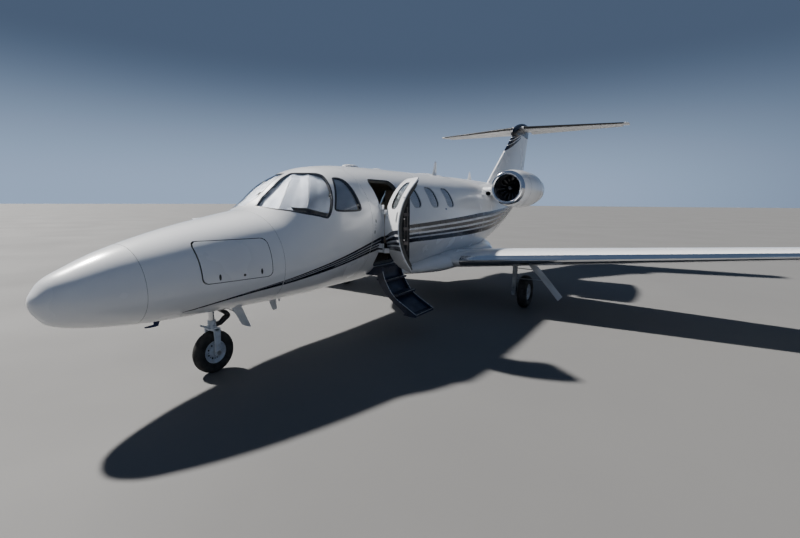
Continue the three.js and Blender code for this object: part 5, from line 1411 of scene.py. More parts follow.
def rim_profile(half, rim, bore):
    """Half section of a rim from its well to the hub, and its mirror."""
    right = np.vstack([smooth([[rim + 0.004, half * 0.7], [rim - 0.002, half * 0.66],
                               [rim - 0.008, half * 0.52], [rim - 0.02, half * 0.36]], 4),
                       smooth([[rim - 0.03, half * 0.3], [bore + 0.04, half * 0.3],
                               [bore + 0.03, half * 0.56], [bore + 0.026, half * 0.75], [bore, half * 0.75]],
                              3)])
    outer = [[rim - 0.004, 0.0]]
    return np.vstack([outer, right, right[::-1] * [1, -1]])


def wheel_parts(name, centre, size, bore, body, nodes):
    """Tyre, rim, and a ring of bolts with a dark disc between each two, painted shade for a hole."""
    tyre = turned(tyre_profile(**size), centre, "x", 96)
    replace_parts(lofts(f"{name}_tyre_rubber", [("hoop", tyre)], TYRE_RUBBER, body, slot="tyre_rubber"),
                nodes[0])
    rim = turned(rim_profile(size["half"], size["rim"], bore), centre, "x", 72)
    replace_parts(lofts(f"{name}_rim_shell", [("hoop", rim)], RIM_PAINT, body, slot="rim_paint"), nodes[1])
    ring, face = (bore + 0.04 + size["rim"] - 0.03) / 2, size["half"] * 0.3

    def plug(turn, rise, radius, sides):
        """A rod through the rim's web that stands out by rise on both faces."""
        y, z = centre[1] + ring * np.cos(turn), centre[2] + ring * np.sin(turn)
        return tube([[centre[0] - face - rise, y, z], [centre[0] + face + rise, y, z]], radius, sides)

    turns = [2 * np.pi * n / RIM_BOLTS for n in range(RIM_BOLTS)]
    bolts = [plug(turn, 0.006, 0.006, 6) for turn in turns]
    # The holes are dark discs that stand out a little from the web: their dark is painted shade.
    holes = [plug(turn + np.pi / RIM_BOLTS, 0.0012, 0.01, 12) for turn in turns]
    lofts(f"{name}_rim_bolts", bolts, CHROME, body, slot="gear_metal")
    lofts(f"{name}_rim_hole_shades", holes, DARK_TRIM, body, slot="tyre_rubber")


NOSE_CENTRE = np.array([0, aft(NOSE_S), NOSE_WHEEL["radius"]])
wheel_parts("nose", NOSE_CENTRE, NOSE_WHEEL, 0.018, "nose_wheel", ("nose_tyre", "nose_rim"))
for side, sign in SIDES:
    wheel_parts(f"main_{side}", np.array([sign * MAIN_X, aft(MAIN_S), MAIN_WHEEL["radius"]]), MAIN_WHEEL,
                0.023, f"main_wheel_{side}", (f"main_{side}_tyre", f"main_{side}_rim"))
print("wheels made")

# %% Nose leg and fork
def arm(outline, plane, low, high, soft=0.004):
    """A plate with its edges rounded: the outline drawn in a little at both faces."""
    outline = np.asarray(outline, float)
    middle = outline.mean(0)
    size = np.abs(outline - middle).max()
    rings = []
    for depth, share in ((low, soft / size), (low + soft * 0.6, 0), (high - soft * 0.6, 0),
                         (high, soft / size)):
        ring = np.column_stack([middle + (outline - middle) * (1 - share), np.full(len(outline), depth)])
        rings.append(ring[:, PLANE_ORDER[plane]])
    return np.array(rings)


Y0, HUB = aft(NOSE_S), NOSE_WHEEL["radius"]
piston = [tube([[0, Y0, 0.565], [0, Y0, 0.705]], 0.03, 32)]
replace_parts(lofts("nose_piston", piston, CHROME, slot="gear_metal"), "nose_leg")
upper_leg = [drum([[0.001, 0.69], [0.046, 0.69], [0.05, 0.7], [0.05, 0.73], [0.044, 0.74], [0.044, 0.955],
                   [0.001, 0.955]],
                  (0, Y0, 0), "z", 32)]
lofts("nose_leg_housing", upper_leg, SHADE_DARKENED_GEAR_PAINT, slot="gear_metal")
FORK_BODY = "nose_steering"


def fork_arm(x):
    """One arm of the fork: a plate that narrows from the crown to the axle."""
    return arm([[Y0 - 0.034, 0.488], [Y0 - 0.03, 0.3], [Y0 - 0.03, 0.21], [Y0 - 0.018, 0.188],
                [Y0 + 0.018, 0.188], [Y0 + 0.03, 0.21], [Y0 + 0.032, 0.3], [Y0 + 0.04, 0.488]],
               "yz", x, x + 0.02)


crown = [arm(rounded(-0.088, 0.088, Y0 - 0.038, Y0 + 0.04, 0.02), "xy", 0.462, 0.49)]
collar = [drum([[0.001, 0.462], [0.044, 0.462], [0.044, 0.52], [0.04, 0.526], [0.042, 0.54], [0.042, 0.565],
                [0.001, 0.565]], (0, Y0, 0), "z", 32)]
axle = [tube([[-0.094, Y0, HUB], [0.094, Y0, HUB]], 0.017, 24),
        tube([[-0.1, Y0, HUB], [-0.086, Y0, HUB]], 0.026, 6),
        tube([[0.086, Y0, HUB], [0.1, Y0, HUB]], 0.026, 6)]
lug = [arm([[Y0 - 0.036, 0.502], [Y0 - 0.036, 0.482], [Y0 - 0.112, 0.516], [Y0 - 0.12, 0.526],
            [Y0 - 0.112, 0.536]],
           "yz", x, x + 0.014, 0.002) for x in (-0.03, 0.016)]
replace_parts(lofts("nose_fork_casting", [fork_arm(-0.088), fork_arm(0.068)] + crown + collar + lug, RIM_PAINT,
                  FORK_BODY, slot="gear_metal"), "nose_fork")
lofts("nose_axle", axle, BARE_METAL, FORK_BODY, slot="gear_metal")
lower_arm = [[0.036, 0.49], [0.1, 0.494], [0.205, 0.556], [0.21, 0.575], [0.196, 0.588], [0.15, 0.576],
             [0.105, 0.536], [0.04, 0.524]]
upper_arm = [[0.205, 0.566], [0.214, 0.582], [0.204, 0.604], [0.178, 0.634], [0.074, 0.684], [0.054, 0.684],
             [0.054, 0.664], [0.15, 0.602], [0.184, 0.57]]
links = [arm(np.array(outline) + [Y0, 0], "yz", low, high) for outline, spans in (
    (lower_arm, ((-0.024, -0.009), (0.009, 0.024))), (upper_arm, ((-0.022, 0.022),))) for low, high in spans]
links += [tube([[-0.03, Y0 + 0.198, 0.578], [0.03, Y0 + 0.198, 0.578]], 0.01, 14),
          tube([[-0.032, Y0 + 0.046, 0.506], [0.032, Y0 + 0.046, 0.506]], 0.014, 14),
          tube([[-0.03, Y0 + 0.066, 0.672], [0.03, Y0 + 0.066, 0.672]], 0.011, 14)]
lofts("nose_torque_link", links, DARK_TRIM, FORK_BODY, slot="gear_metal")
print("nose gear made")

# %% [markdown]
# ## Main legs and gear doors
# A main leg is a square box casting with two pockets, a trailing arm that carries the wheel, and a
# shock strut between them. Behind the wheel's rim sits the brake. The door of each leg hangs outside
# it, and the nose leg's own door hangs at its rear.
# %% Main gear
def along_line(start, end, radii, sides=20):
    """A straight turned part: radii at even steps from start to end."""
    share = np.linspace(0, 1, len(radii))[:, None]
    return tube(np.array(start) + share * (np.array(end) - np.array(start)), radii, sides)


def one_side(shapes, sign):
    """The lofts as drawn for port, or mirrored for starboard."""
    return list(shapes) if sign > 0 else both_sides(shapes)[len(shapes):]


def main_gear(side, sign):
    """Everything of one main leg, built for port and mirrored for starboard."""
    x0, y0, hub = MAIN_X - 0.15, aft(MAIN_S), MAIN_WHEEL["radius"]
    post = [arm(rounded(x0 - 0.03, x0 + 0.04, y0 - 0.19, y0 - 0.11, 0.012, 3), "xy", 0.402, 0.88),
            arm(rounded(x0 - 0.03, x0 + 0.04, y0 - 0.16, y0 - 0.11, 0.008, 3), "xy", 0.318, 0.404),
            arm(rounded(x0 - 0.03, x0 + 0.04, y0 - 0.19, y0 - 0.11, 0.012, 3), "xy", 0.262, 0.32)]
    post += [arm(rounded(x, x + 0.014, y0 - 0.19, y0 - 0.15, 0.003, 3), "xy", 0.316, 0.406)
             for x in (x0 - 0.03, x0 + 0.026)]
    post += [arm(rounded(x0 - 0.028, x0 + 0.038, y0 - 0.188, y0 - 0.15, 0.003, 3), "xy", 0.351, 0.371)]
    trail = [arm([[y0 - 0.192, 0.232], [y0 - 0.196, 0.296], [y0 - 0.12, 0.318], [y0 - 0.02, 0.326],
                  [y0 + 0.026, 0.314], [y0 + 0.044, 0.286], [y0 + 0.04, 0.254], [y0 + 0.01, 0.236],
                  [y0 - 0.09, 0.226]],
                 "yz", x0 - 0.026, x0 + 0.03)]
    pivot = [tube([[x0 - 0.042, y0 - 0.15, 0.264], [x0 + 0.044, y0 - 0.15, 0.264]], 0.02, 20),
             tube([[x0 - 0.036, y0, hub], [x0 + 0.034, y0, hub]], 0.032, 24)]
    parts = [("casting", post + trail + pivot, SHADE_DARKENED_GEAR_PAINT, "gear_metal")]
    low, high = np.array([x0 - 0.002, y0 + 0.012, 0.306]), np.array([x0 - 0.002, y0 - 0.118, 0.64])
    piston_end, gland = low + 0.45 * (high - low), low + 0.52 * (high - low)
    parts += [("shock_rod", [along_line(low, gland, [0.014, 0.014])], CHROME, "gear_metal"),
              ("shock_body", [along_line(piston_end, high, [0.02, 0.026, 0.026, 0.026, 0.024, 0.02])],
               SHADE_DARKENED_GEAR_PAINT, "gear_metal")]
    axle = [along_line((x0 - 0.03, y0, hub), (MAIN_X + 0.066, y0, hub), [0.022, 0.022], 24),
            along_line((MAIN_X + 0.058, y0, hub), (MAIN_X + 0.072, y0, hub), [0.03, 0.03], 6)]
    parts += [("axle", axle, BARE_METAL, "gear_metal")]
    brake = [("hoop", turned([[0.034, -0.116], [0.088, -0.116], [0.094, -0.108], [0.094, -0.072],
                              [0.034, -0.072]],
                             (MAIN_X, y0, hub), "x", 48))]
    brake += [along_line((MAIN_X - 0.128, y0 + 0.066 * np.cos(t), hub + 0.066 * np.sin(t)),
                         (MAIN_X - 0.114, y0 + 0.066 * np.cos(t), hub + 0.066 * np.sin(t)),
                         [0.014, 0.014, 0.01], 14)
              for t in np.radians([50, 90, 130, 230, 270, 310])]
    parts += [("brake", brake, BARE_METAL, "gear_metal")]
    hose_path = smooth([[x0 + 0.034, y0 + 0.02, 0.345], [x0 + 0.036, y0 - 0.03, 0.4],
                        [x0 + 0.02, y0 - 0.09, 0.44], [x0 + 0.034, y0 - 0.118, 0.52],
                        [x0 + 0.036, y0 - 0.14, 0.64], [x0 + 0.03, y0 - 0.15, 0.76]], 8)
    second_hose = hose_path[6:] + [-0.066, 0.004, 0.0]
    parts += [("hoses", [tube(hose_path, 0.006, 8), tube(second_hose, 0.005, 8)], DARK_RUBBER, "tyre_rubber")]
    made = []
    for part, shapes, finish, slot in parts:
        made.append(lofts(f"main_leg_{side}_{part}", one_side(shapes, sign), finish, slot=slot))
    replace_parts(made[0], f"main_leg_{side}")


def gear_door(side, sign):
    """A panel that hangs at 45 degrees: two thin skins with a stiff rolled edge, and its two rods."""
    y0 = aft(MAIN_S)
    line = smooth([[2.077, 0.789], [2.21, 0.654], [2.345, 0.506], [2.47, 0.362], [2.582, 0.232]], 5)
    normal = unit(np.column_stack([np.gradient(line[:, 1]), -np.gradient(line[:, 0])]))
    ends = np.array([y0 - 0.25, y0 - 0.244, y0 - 0.236, y0 + 0.076, y0 + 0.084, y0 + 0.09])
    swell = (0.55, 0.85, 1, 1, 0.85, 0.55)
    rings = []
    for y, share in zip(ends, swell):
        flat = np.concatenate([line - normal * 0.0065 * share, (line + normal * 0.0065 * share)[::-1]])
        rings.append(np.column_stack([flat[:, 0], np.full(len(flat), y), flat[:, 1]]))
    stays = [along_line((1.855, y0 - 0.15, 0.7), (2.15, y0 - 0.15, 0.69), [0.007, 0.007], 10),
             along_line((1.855, y0 - 0.15, 0.52), (2.33, y0 - 0.15, 0.524), [0.007, 0.007], 10)]
    panel, rods = one_side([np.array(rings)], sign), one_side(stays, sign)
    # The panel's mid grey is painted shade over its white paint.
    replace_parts(lofts(f"main_gear_door_{side}_panel", panel, SHADED_GEAR_DOOR_PAINT, slot="painted_skin"),
                f"main_gear_door_{side}")
    lofts(f"main_gear_door_{side}_rods", rods, BARE_METAL, slot="gear_metal")


for side, sign in SIDES:
    main_gear(side, sign)
    gear_door(side, sign)


def belly_height(s, x):
    """Height of the underside of the skin at a distance out."""
    half, middle, rise, drop, roundness = body_shape(s)
    return middle - drop * (1 - np.abs(x / half) ** roundness) ** (1 / roundness)


door_top = [[s, float(belly_height(np.array(s), 0.13)) + 0.004] for s in (1.618, 1.665, 1.71, 1.745)]
door_line = np.array(door_top + [[1.766, 0.655], [1.818, 0.535], [1.866, 0.424], [1.858, 0.421],
                                 [1.806, 0.44], [1.758, 0.468], [1.748, 0.478], [1.69, 0.59]])
door_line[:, 0] += NOSE_Y
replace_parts(lofts("nose_gear_door_panel", [arm(door_line, "yz", 0.1245, 0.1355, 0.003)], WHITE_PAINT,
                  slot="painted_skin"), "nose_gear_door")
lofts("nose_gear_door_rod", [along_line((0.044, aft(1.505), 0.76), (0.126, aft(1.72), 0.6), [0.006, 0.006],
                                        10)],
      BARE_METAL, slot="gear_metal")
print("main gear and gear doors made")

# %% [markdown]
# ## Aerials and probes
# Two blade aerials stand on the roof, with two low domes ahead of them. A third blade and a drain mast
# hang under the cockpit, and a tube on a short mast under the nose feels the air speed.
# %% Aerials
# Each row is one level: height, front and back behind the nose, half width
AERIALS = {
    "belly_blade": [[0.7, 2.22, 2.35, 0.012], [0.65, 2.236, 2.354, 0.011], [0.6, 2.255, 2.358, 0.009],
                    [0.52, 2.287, 2.365, 0.007], [0.5, 2.3, 2.362, 0.005], [0.4965, 2.312, 2.352, 0.002]],
    "drain_mast": [[0.7, 2.386, 2.424, 0.009], [0.6, 2.391, 2.42, 0.007], [0.586, 2.394, 2.417, 0.004]],
    "front_dome": [[2.262, 3.66, 4.04, 0.078], [2.296, 3.664, 4.034, 0.076], [2.312, 3.684, 4.014, 0.068],
                   [2.326, 3.738, 3.96, 0.046], [2.3315, 3.8, 3.9, 0.02]],
    "middle_dome": [[2.28, 4.4, 4.63, 0.058], [2.308, 4.408, 4.624, 0.053], [2.318, 4.436, 4.594, 0.036],
                    [2.3215, 4.47, 4.56, 0.018]],
    "roof_blade": [[2.29, 6.372, 6.584, 0.016], [2.322, 6.38, 6.58, 0.015], [2.34, 6.392, 6.578, 0.012],
                   [2.44, 6.44, 6.576, 0.01], [2.56, 6.486, 6.568, 0.006], [2.588, 6.5, 6.56, 0.004],
                   [2.593, 6.514, 6.548, 0.0015]],
    "tail_blade": [[2.296, 8.144, 8.388, 0.016], [2.32, 8.15, 8.378, 0.014], [2.4, 8.188, 8.34, 0.009],
                   [2.48, 8.22, 8.296, 0.005], [2.497, 8.234, 8.276, 0.002]]}


def aerial(rows, sides=32):
    """Upright lens-shaped rings: along = (1 - cos turn) / 2, across = half width times sin turn."""
    turn = np.linspace(0, 2 * np.pi, sides, endpoint=False)
    share, across = (1 - np.cos(turn)) / 2, np.sin(turn) * (1.08 - 0.16 * (1 - np.cos(turn)))
    return np.array([np.column_stack([half * across, aft(front + (back - front) * share), np.full(sides, z)])
                     for z, front, back, half in rows])


for name, rows in AERIALS.items():
    lofts(name, [aerial(rows)], WHITE_PAINT, slot="painted_skin")
PROBE_PAINT = worn("probe_paint", (0.03, 0.045, 0.14), (0.016, 0.022, 0.06), 30, (0.35, 0.6), 200, 0.2,
                   metallic=0.3)
probe_mast = aerial([[0.735, 0.868, 0.936, 0.009], [0.69, 0.864, 0.922, 0.0085],
                     [0.664, 0.862, 0.908, 0.008]]) + [0.05, 0, 0]
probe_tube = along_line((0.05, aft(0.91), 0.662), (0.05, aft(0.786), 0.665),
                        [0.004, 0.011, 0.011, 0.011, 0.009, 0.007])
lofts("speed_probe", [probe_mast, probe_tube], PROBE_PAINT, slot="gear_metal")
print("aerials made")

# %% [markdown]
# ## Entry stair
# The stair hooks onto the sill and curves out and down. Its two side rails are plates, its treads are
# folded sheet with a dark grip surface, and bare metal edges catch the light.
# %% Stair
STAIR_FRONT, STAIR_BACK, STAIR_SIDE, STAIR_MIDDLE = 3.56, 4.05, 0.018, 3.8
TREAD_ENDS = (aft(STAIR_FRONT + 0.006), aft(STAIR_BACK - 0.006))
RAIL_TOP = [[0.74, 0.915], [0.764, 0.82], [0.79, 0.75], [0.832, 0.676], [0.89, 0.59], [0.96, 0.52],
            [1.03, 0.474], [1.15, 0.405], [1.276, 0.332]]
RAIL_LOW = [[1.278, 0.298], [1.24, 0.297], [1.15, 0.298], [1.096, 0.336], [1.03, 0.386], [0.936, 0.448],
            [0.842, 0.522], [0.78, 0.584], [0.725, 0.65], [0.688, 0.722], [0.662, 0.8]]
# Each tread's inner edge, height and depth
TREADS = [(0.65, 0.735, 0.19), (0.8, 0.545, 0.19), (1.085, 0.3, 0.19)]
top_line, low_line = smooth(RAIL_TOP, 4), smooth(RAIL_LOW, 3)
wall_line = [[float(skin_x(STAIR_MIDDLE, z)) + 0.0004, z] for z in np.linspace(0.8, 0.915, 5)]
rail = np.concatenate([top_line, low_line, wall_line])
rails = [arm(rail, "xz", aft(s), aft(s) + STAIR_SIDE, 0.0016)
         for s in (STAIR_FRONT, STAIR_BACK - STAIR_SIDE)]
wall_ends = {z: float(skin_x(STAIR_MIDDLE, z)) for z in (0.88, 0.912)}
top_step = [plate([[wall_ends[0.88], 0.88], [0.735, 0.88], [0.735, 0.912], [wall_ends[0.912], 0.912]], "xz",
                  *TREAD_ENDS)]
treads = [plate([[max(x, float(skin_x(STAIR_MIDDLE, z)) + 0.0004), z], [x + depth, z], [x + depth, z + 0.024],
                 [max(x, float(skin_x(STAIR_MIDDLE, z + 0.024)) + 0.0004), z + 0.024]], "xz",
                *TREAD_ENDS) for x, z, depth in TREADS]
STAIR_PAINT = worn("stair_paint", (0.02, 0.028, 0.06), (0.012, 0.016, 0.032), 9, (0.3, 0.5), 160, 0.15)
EDGE_METAL = worn("bare_edge", (0.7, 0.72, 0.74), (0.55, 0.57, 0.6), 20, (0.22, 0.4), 200, 0.1, metallic=1.0)
# The curved plate behind the treads, as its upper line and its lower line
BACK_TOP = [[0.712, 0.905], [0.722, 0.8], [0.77, 0.69], [0.852, 0.572], [0.945, 0.49], [1.046, 0.428],
            [1.2, 0.34]]
BACK_LOW = [[1.2, 0.322], [1.036, 0.412], [0.936, 0.472], [0.84, 0.56], [0.756, 0.682], [0.706, 0.795],
            [0.696, 0.9]]
back_plate = [plate(np.concatenate([smooth(BACK_TOP, 4), smooth(BACK_LOW, 4)]), "xz", *TREAD_ENDS)]
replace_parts(lofts("stair_frame", rails + top_step + treads + back_plate, STAIR_PAINT, slot="stair_metal"),
            "entry_stair")
grips, nosings = [], []
for x, z, depth in TREADS:
    back = max(x, float(skin_x(STAIR_MIDDLE, z + 0.024)) + 0.001)
    grips.append(block((back + 0.004, aft(STAIR_FRONT + 0.03), z + 0.0235),
                       (x + depth - 0.02, aft(STAIR_BACK - 0.03), z + 0.0265), 0.004))
    nosings.append(block((x + depth - 0.016, aft(STAIR_FRONT + 0.019), z + 0.0235),
                         (x + depth + 0.0015, aft(STAIR_BACK - 0.019), z + 0.0262)))
lofts("stair_grips", grips, STAIR_TREAD, slot="stair_metal")
edge_path = top_line[2:]
edges = [tube(np.column_stack([edge_path[:, 0], np.full(len(edge_path), aft(s)), edge_path[:, 1]]), 0.0045, 8)
         for s in (STAIR_FRONT + 0.004, STAIR_BACK - 0.004)]
lofts("stair_edges", nosings + edges, EDGE_METAL, slot="polished_metal")
print("stair made")

# %% [markdown]
# ## Cabin floor
# Through the door and the windows one sees the floor, the seats and the backs of the shades. The floor
# is a panel that follows the inside of the wall, covered with a short carpet, so its outline is worked
# out from the body's own formula with the wall taken off.
# %% Floor
WALL, FLOOR_TOP, FLOOR_THICK = 0.061, 0.9, 0.04
FLOOR_FRONT, FLOOR_BACK = 1.96, 7.075


def floor_rings(places):
    """A slab across the cabin: at each place four corners on the wall's inside."""
    low, high = skin_x(places, FLOOR_TOP - FLOOR_THICK, WALL), skin_x(places, FLOOR_TOP, WALL)
    bottom, top = np.full(len(places), FLOOR_TOP - FLOOR_THICK), np.full(len(places), FLOOR_TOP)
    corners = [(-low, bottom), (low, bottom), (high, top), (-high, top)]
    return np.stack([np.column_stack([x, aft(places), z]) for x, z in corners], axis=1)


CREW_SEATS = [(0.33, 2.96, 1), (-0.33, 2.96, 1)]
CABIN_SEATS = [(side * 0.4, at, facing) for at, facing in ((4.56, -1), (5.56, 1), (6.48, 1))
               for side in (1, -1)]
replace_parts(lofts("cabin_carpet", [floor_rings(np.linspace(FLOOR_FRONT, FLOOR_BACK, 48))], CARPET,
                  slot="seat_leather"), "cockpit_floor", "cabin_floor")
rails = []
for x, at, facing in CREW_SEATS + CABIN_SEATS:
    for out in (-0.11, 0.11):
        rails.append(block((x + out - 0.012, aft(at) - 0.24, FLOOR_TOP - 0.001),
                           (x + out + 0.012, aft(at) + 0.24, FLOOR_TOP + 0.012), 0.004))
        rails.append(arm([[aft(at) - 0.17, FLOOR_TOP + 0.01], [aft(at) + 0.17, FLOOR_TOP + 0.01],
                          [aft(at) + 0.1, FLOOR_TOP + 0.13], [aft(at) + 0.15, FLOOR_TOP + 0.236],
                          [aft(at) - 0.15, FLOOR_TOP + 0.236], [aft(at) - 0.1, FLOOR_TOP + 0.13]],
                         "yz", x + out - 0.01, x + out + 0.01, 0.003))
    rails.append(arm(rounded(x - 0.15, x + 0.15, aft(at) - 0.17, aft(at) + 0.17, 0.03, 4), "xy",
                     FLOOR_TOP + 0.232, FLOOR_TOP + 0.25))
lofts("seat_frames", rails, DARK_TRIM, slot="cockpit_trim")
print("floor and seat frames made")

# %% [markdown]
# ## Leather seats
# Leather over foam bulges between its seams, so a rounded box looks wrong. Each of three pads, the
# cushion, the back and the headrest, starts as a ball in the norm of a high power, which is a box
# with soft edges. It is remeshed evenly and blown up as cloth, with a cap on how far a point may
# move. Two stitched channels are then pressed into it, and the finished pad is set at its eight places.
# %% Padded seats
PAD_FRAMES, PAD_PRESSURE = 20, 4.0
# Each row is one pad, facing the nose at the origin: size, middle, cap on the moves, voxel
PADS = {"cushion": ((0.452, 0.47, 0.134), (0, 0, 0.3185), 0.024, 0.016),
        "back": ((0.44, 0.1, 0.515), (0, 0.215, 0.645), 0.02, 0.016),
        "headrest": ((0.25, 0.064, 0.176), (0, 0.226, 0.988), 0.012, 0.013)}


def soft_box(size, middle, power=7, rows=22, columns=44):
    """Rings of a ball in a norm: each direction is divided by the sum of its parts to a power, rooted."""
    up = np.linspace(-np.pi / 2, np.pi / 2, rows + 2)[1:-1, None]
    turn = np.linspace(0, 2 * np.pi, columns, endpoint=False)[None]
    ahead = np.stack([np.cos(up) * np.cos(turn), np.cos(up) * np.sin(turn), np.sin(up) + 0 * turn], -1)
    reach = (np.abs(ahead) ** power).sum(-1, keepdims=True) ** (-1 / power)
    return ahead * reach * np.array(size) / 2 + np.array(middle)


def mesh_arrays(piece):
    """Points and quads of a piece with its modifiers taken into account."""
    mesh = piece.evaluated_get(bpy.context.evaluated_depsgraph_get()).to_mesh()
    points = np.empty(len(mesh.vertices) * 3, np.float32)
    mesh.vertices.foreach_get("co", points)
    faces = [list(polygon.vertices) for polygon in mesh.polygons]
    return points.reshape(-1, 3).astype(float), faces


def loose_piece(name, points, faces):
    """An object to work on, which is removed again."""
    mesh = bpy.data.meshes.new(name)
    mesh.from_pydata(points.tolist(), [], faces)
    piece = bpy.data.objects.new(name, mesh)
    bpy.context.collection.objects.link(piece)
    return piece


def blown_up(points, faces, cap):
    """Blows a closed mesh up as cloth with no gravity, and caps each point's move."""
    piece = loose_piece("pad_in_work", points, faces)
    cloth = piece.modifiers.new("cloth", "CLOTH")
    cloth.settings.use_pressure = True
    cloth.settings.uniform_pressure_force = PAD_PRESSURE
    cloth.settings.effector_weights.gravity = 0
    cloth.settings.quality = 5
    cloth.point_cache.frame_start, cloth.point_cache.frame_end = 1, PAD_FRAMES
    for moment in range(1, PAD_FRAMES + 1):
        bpy.context.scene.frame_set(moment)
    moved, _ = mesh_arrays(piece)
    bpy.context.scene.frame_set(1)
    bpy.data.objects.remove(piece)
    move = moved - points
    length = np.maximum(np.linalg.norm(move, axis=1, keepdims=True), 1e-9)
    return points + move * np.minimum(1, cap / length)


def pad_arrays(name):
    """One pad: remeshed, blown up, fitted into its size, with two channels pressed in."""
    size, middle, cap, voxel = PADS[name]
    rings = soft_box(np.array(size) - cap * np.array([1.2, 1.0, 1.2]) * 0.8, (0, 0, 0))
    faces = [face for part in loft_faces(*rings.shape[:2]) for face in part.tolist()]
    piece = loose_piece("pad_start", rings.reshape(-1, 3), faces)
    remesh = piece.modifiers.new("even", "REMESH")
    remesh.mode, remesh.voxel_size = "VOXEL", voxel * 1
    points, faces = mesh_arrays(piece)
    bpy.data.objects.remove(piece)
    points = blown_up(points, faces, cap)
    low, high = points.min(0), points.max(0)
    points = (points - (low + high) / 2) * (np.array(size) / (high - low))
    depth_axis, front = (2, 1) if name == "cushion" else (1, -1)
    shown = np.clip(points[:, depth_axis] * front / (size[depth_axis] / 2), 0, 1)
    for out in (-0.26 * size[0], 0.26 * size[0]):
        dip = 0.006 * np.exp(-((points[:, 0] - out) / 0.012) ** 2)
        points[:, depth_axis] -= front * dip * shown
    return points + np.array(middle), faces


def seat_place(points, x, at, facing):
    """Points of a pad, turned to face a way and put at a seat's place on the floor."""
    return points * [facing, facing, 1] + [x, aft(at), FLOOR_TOP]


pads = {name: pad_arrays(name) for name in PADS}
for number, (x, at, facing) in enumerate(CREW_SEATS + CABIN_SEATS, 1):
    for name, (points, faces) in pads.items():
        piece = add_piece(f"seat_{number}_{name}", seat_place(points, x, at, facing), [faces], LEATHER,
                          angle=80, slot="seat_leather")
        fine = piece.modifiers.new("fine", "SUBSURF")
        fine.levels = fine.render_levels = 1
print({name: len(points) for name, (points, _) in pads.items()})

# %% [markdown]
# ## Instrument panel and blinds
# The solid of the instrument panel already has the right form, so it only gets a dull black finish,
# three dark screens and the pedestal's levers. The cabin windows have their blinds drawn, which are
# moulded panels a finger's width behind the panes.
# %% Panel and blinds
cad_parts["instrument_panel"].material_slots[0].material = DARK_TRIM
SCREEN_GLASS = worn("screen_glass", (0.012, 0.014, 0.018), (0.008, 0.009, 0.012), 6, (0.08, 0.2), 90, 0.02)
screens = [block((x - 0.13, aft(2.3496), 1.33), (x + 0.13, aft(2.354), 1.56)) for x in (-0.46, 0.0, 0.46)]
lofts("panel_screens", screens, SCREEN_GLASS, slot="glazing")
levers = [along_line((x, aft(2.43), 1.198), (x, aft(2.4), 1.27), [0.006, 0.006, 0.014, 0.012], 12)
          for x in (-0.04, 0.04)]
lofts("thrust_levers", levers, BARE_METAL, slot="gear_metal")
for side, sign, places in (("port", 1, PORT_WINDOWS), ("starboard", -1, STARBOARD_WINDOWS)):
    for number, at in enumerate(places, 1):
        # Each blind stops short at its rear and top edges, so that the near-black rim shows there as a crescent
        # of painted shade.
        outline = rounded(at - WINDOW_WIDTH / 2 + 0.003, at + WINDOW_WIDTH / 2 - 0.048,
                          WINDOW_MIDDLE - WINDOW_HEIGHT / 2 + 0.003, WINDOW_MIDDLE + WINDOW_HEIGHT / 2 - 0.02,
                          0.085)
        skin(f"window_blind_{side}_{number}", *chart_panel(side_chart(even(outline, 0.02), sign)), -0.0135,
             0.004, BLIND, slot="seat_leather")
print("panel and blinds made")

# %% [markdown]
# ## Floor and light
# A plain pale floor and soft light. A broad sun lamp stands high on the far side, as the sun does in
# the photograph, so the top of the jet is bright and the near side lies in shade. A weak blue lamp
# and the sky fill that side. The sky is deep overhead and pale low down on the far side.
# %% Studio
FLOOR_REACH = 300
floor_mesh = bpy.data.meshes.new("floor")
floor_mesh.from_pydata([(x * FLOOR_REACH, y * FLOOR_REACH, 0)
                        for x, y in ((-1, -1), (1, -1), (1, 1), (-1, 1))],
                       [], [(0, 1, 2, 3)])
floor = bpy.data.objects.new("floor", floor_mesh)
bpy.context.collection.objects.link(floor)
floor.data.materials.append(worn("studio_floor", (0.138, 0.137, 0.135), (0.128, 0.127, 0.126), 0.3,
                                 (0.75, 0.85), 30, 0.02))


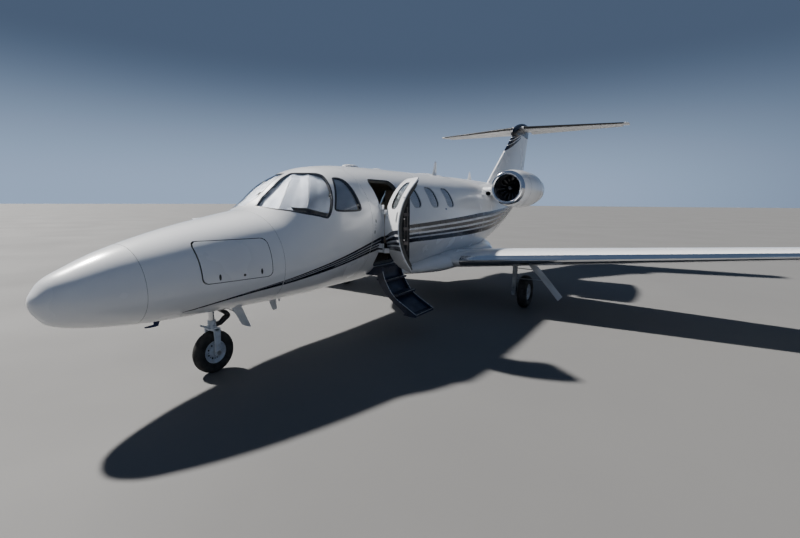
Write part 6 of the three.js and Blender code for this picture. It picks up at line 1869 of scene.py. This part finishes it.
def soft_light(name, kind, place, aim, power, colour):
    """A lamp at a place, turned to an aim: its own back axis points from the aim to the place."""
    lamp = bpy.data.lights.new(name, kind)
    lamp.energy, lamp.color = power, colour
    holder = bpy.data.objects.new(name, lamp)
    bpy.context.collection.objects.link(holder)
    back = np.array(place, float) - np.array(aim, float)
    back /= np.linalg.norm(back)
    across = np.cross([0, 0, 1.0], back)
    across /= np.linalg.norm(across)
    upward = np.cross(back, across)
    for column, axis in enumerate((across, upward, back, place)):
        for row in range(3):
            holder.matrix_world[row][column] = float(axis[row])
    return lamp


soft_light("key", "SUN", (-34, 0, 37.5), (0, 0, 1), 9.7, (1.0, 0.97, 0.92)).angle = np.radians(2.5)
soft_light("fill", "AREA", (14, -16, 9), (0, -1, 1), 70, (0.8, 0.9, 1.0)).size = 12
world = bpy.context.scene.world or bpy.data.worlds.new("studio")
bpy.context.scene.world = world
world.use_nodes = True
SKY_BLUE, SKY_GLOW = (0.075, 0.11, 0.18), (0.34, 0.46, 0.66)
sky, sky_links = world.node_tree.nodes, world.node_tree.links


def sky_share(axis, low, high):
    """A smooth share from 0 at one value to 1 at another of the sky's direction along an axis."""
    share = sky.new("ShaderNodeMapRange")
    share.interpolation_type = "SMOOTHSTEP"
    along = sky.new("ShaderNodeVectorMath")
    along.operation = "DOT_PRODUCT"
    along.inputs[1].default_value = axis
    sky_links.new(sky_direction.outputs["Generated"], along.inputs[0])
    share.inputs["From Min"].default_value, share.inputs["From Max"].default_value = low, high
    sky_links.new(along.outputs["Value"], share.inputs["Value"])
    return share.outputs["Result"]


# The sky is deep overhead and pale near the ground on the far side, as a wide soft box would be
sky_direction = sky.new("ShaderNodeTexCoord")
glow = sky.new("ShaderNodeMath")
glow.operation = "MULTIPLY"
sky_links.new(sky_share((0, 0, -1), -0.3, -0.02), glow.inputs[0])
sky_links.new(sky_share((-0.8, 0.6, 0), -0.1, 0.8), glow.inputs[1])
tint = sky.new("ShaderNodeMix")
tint.data_type = "RGBA"
for place, colour in ((6, SKY_BLUE), (7, SKY_GLOW)):
    tint.inputs[place].default_value = (*colour, 1)
sky_links.new(glow.outputs["Value"], tint.inputs[0])
sky_links.new(tint.outputs[2], sky["Background"].inputs["Color"])
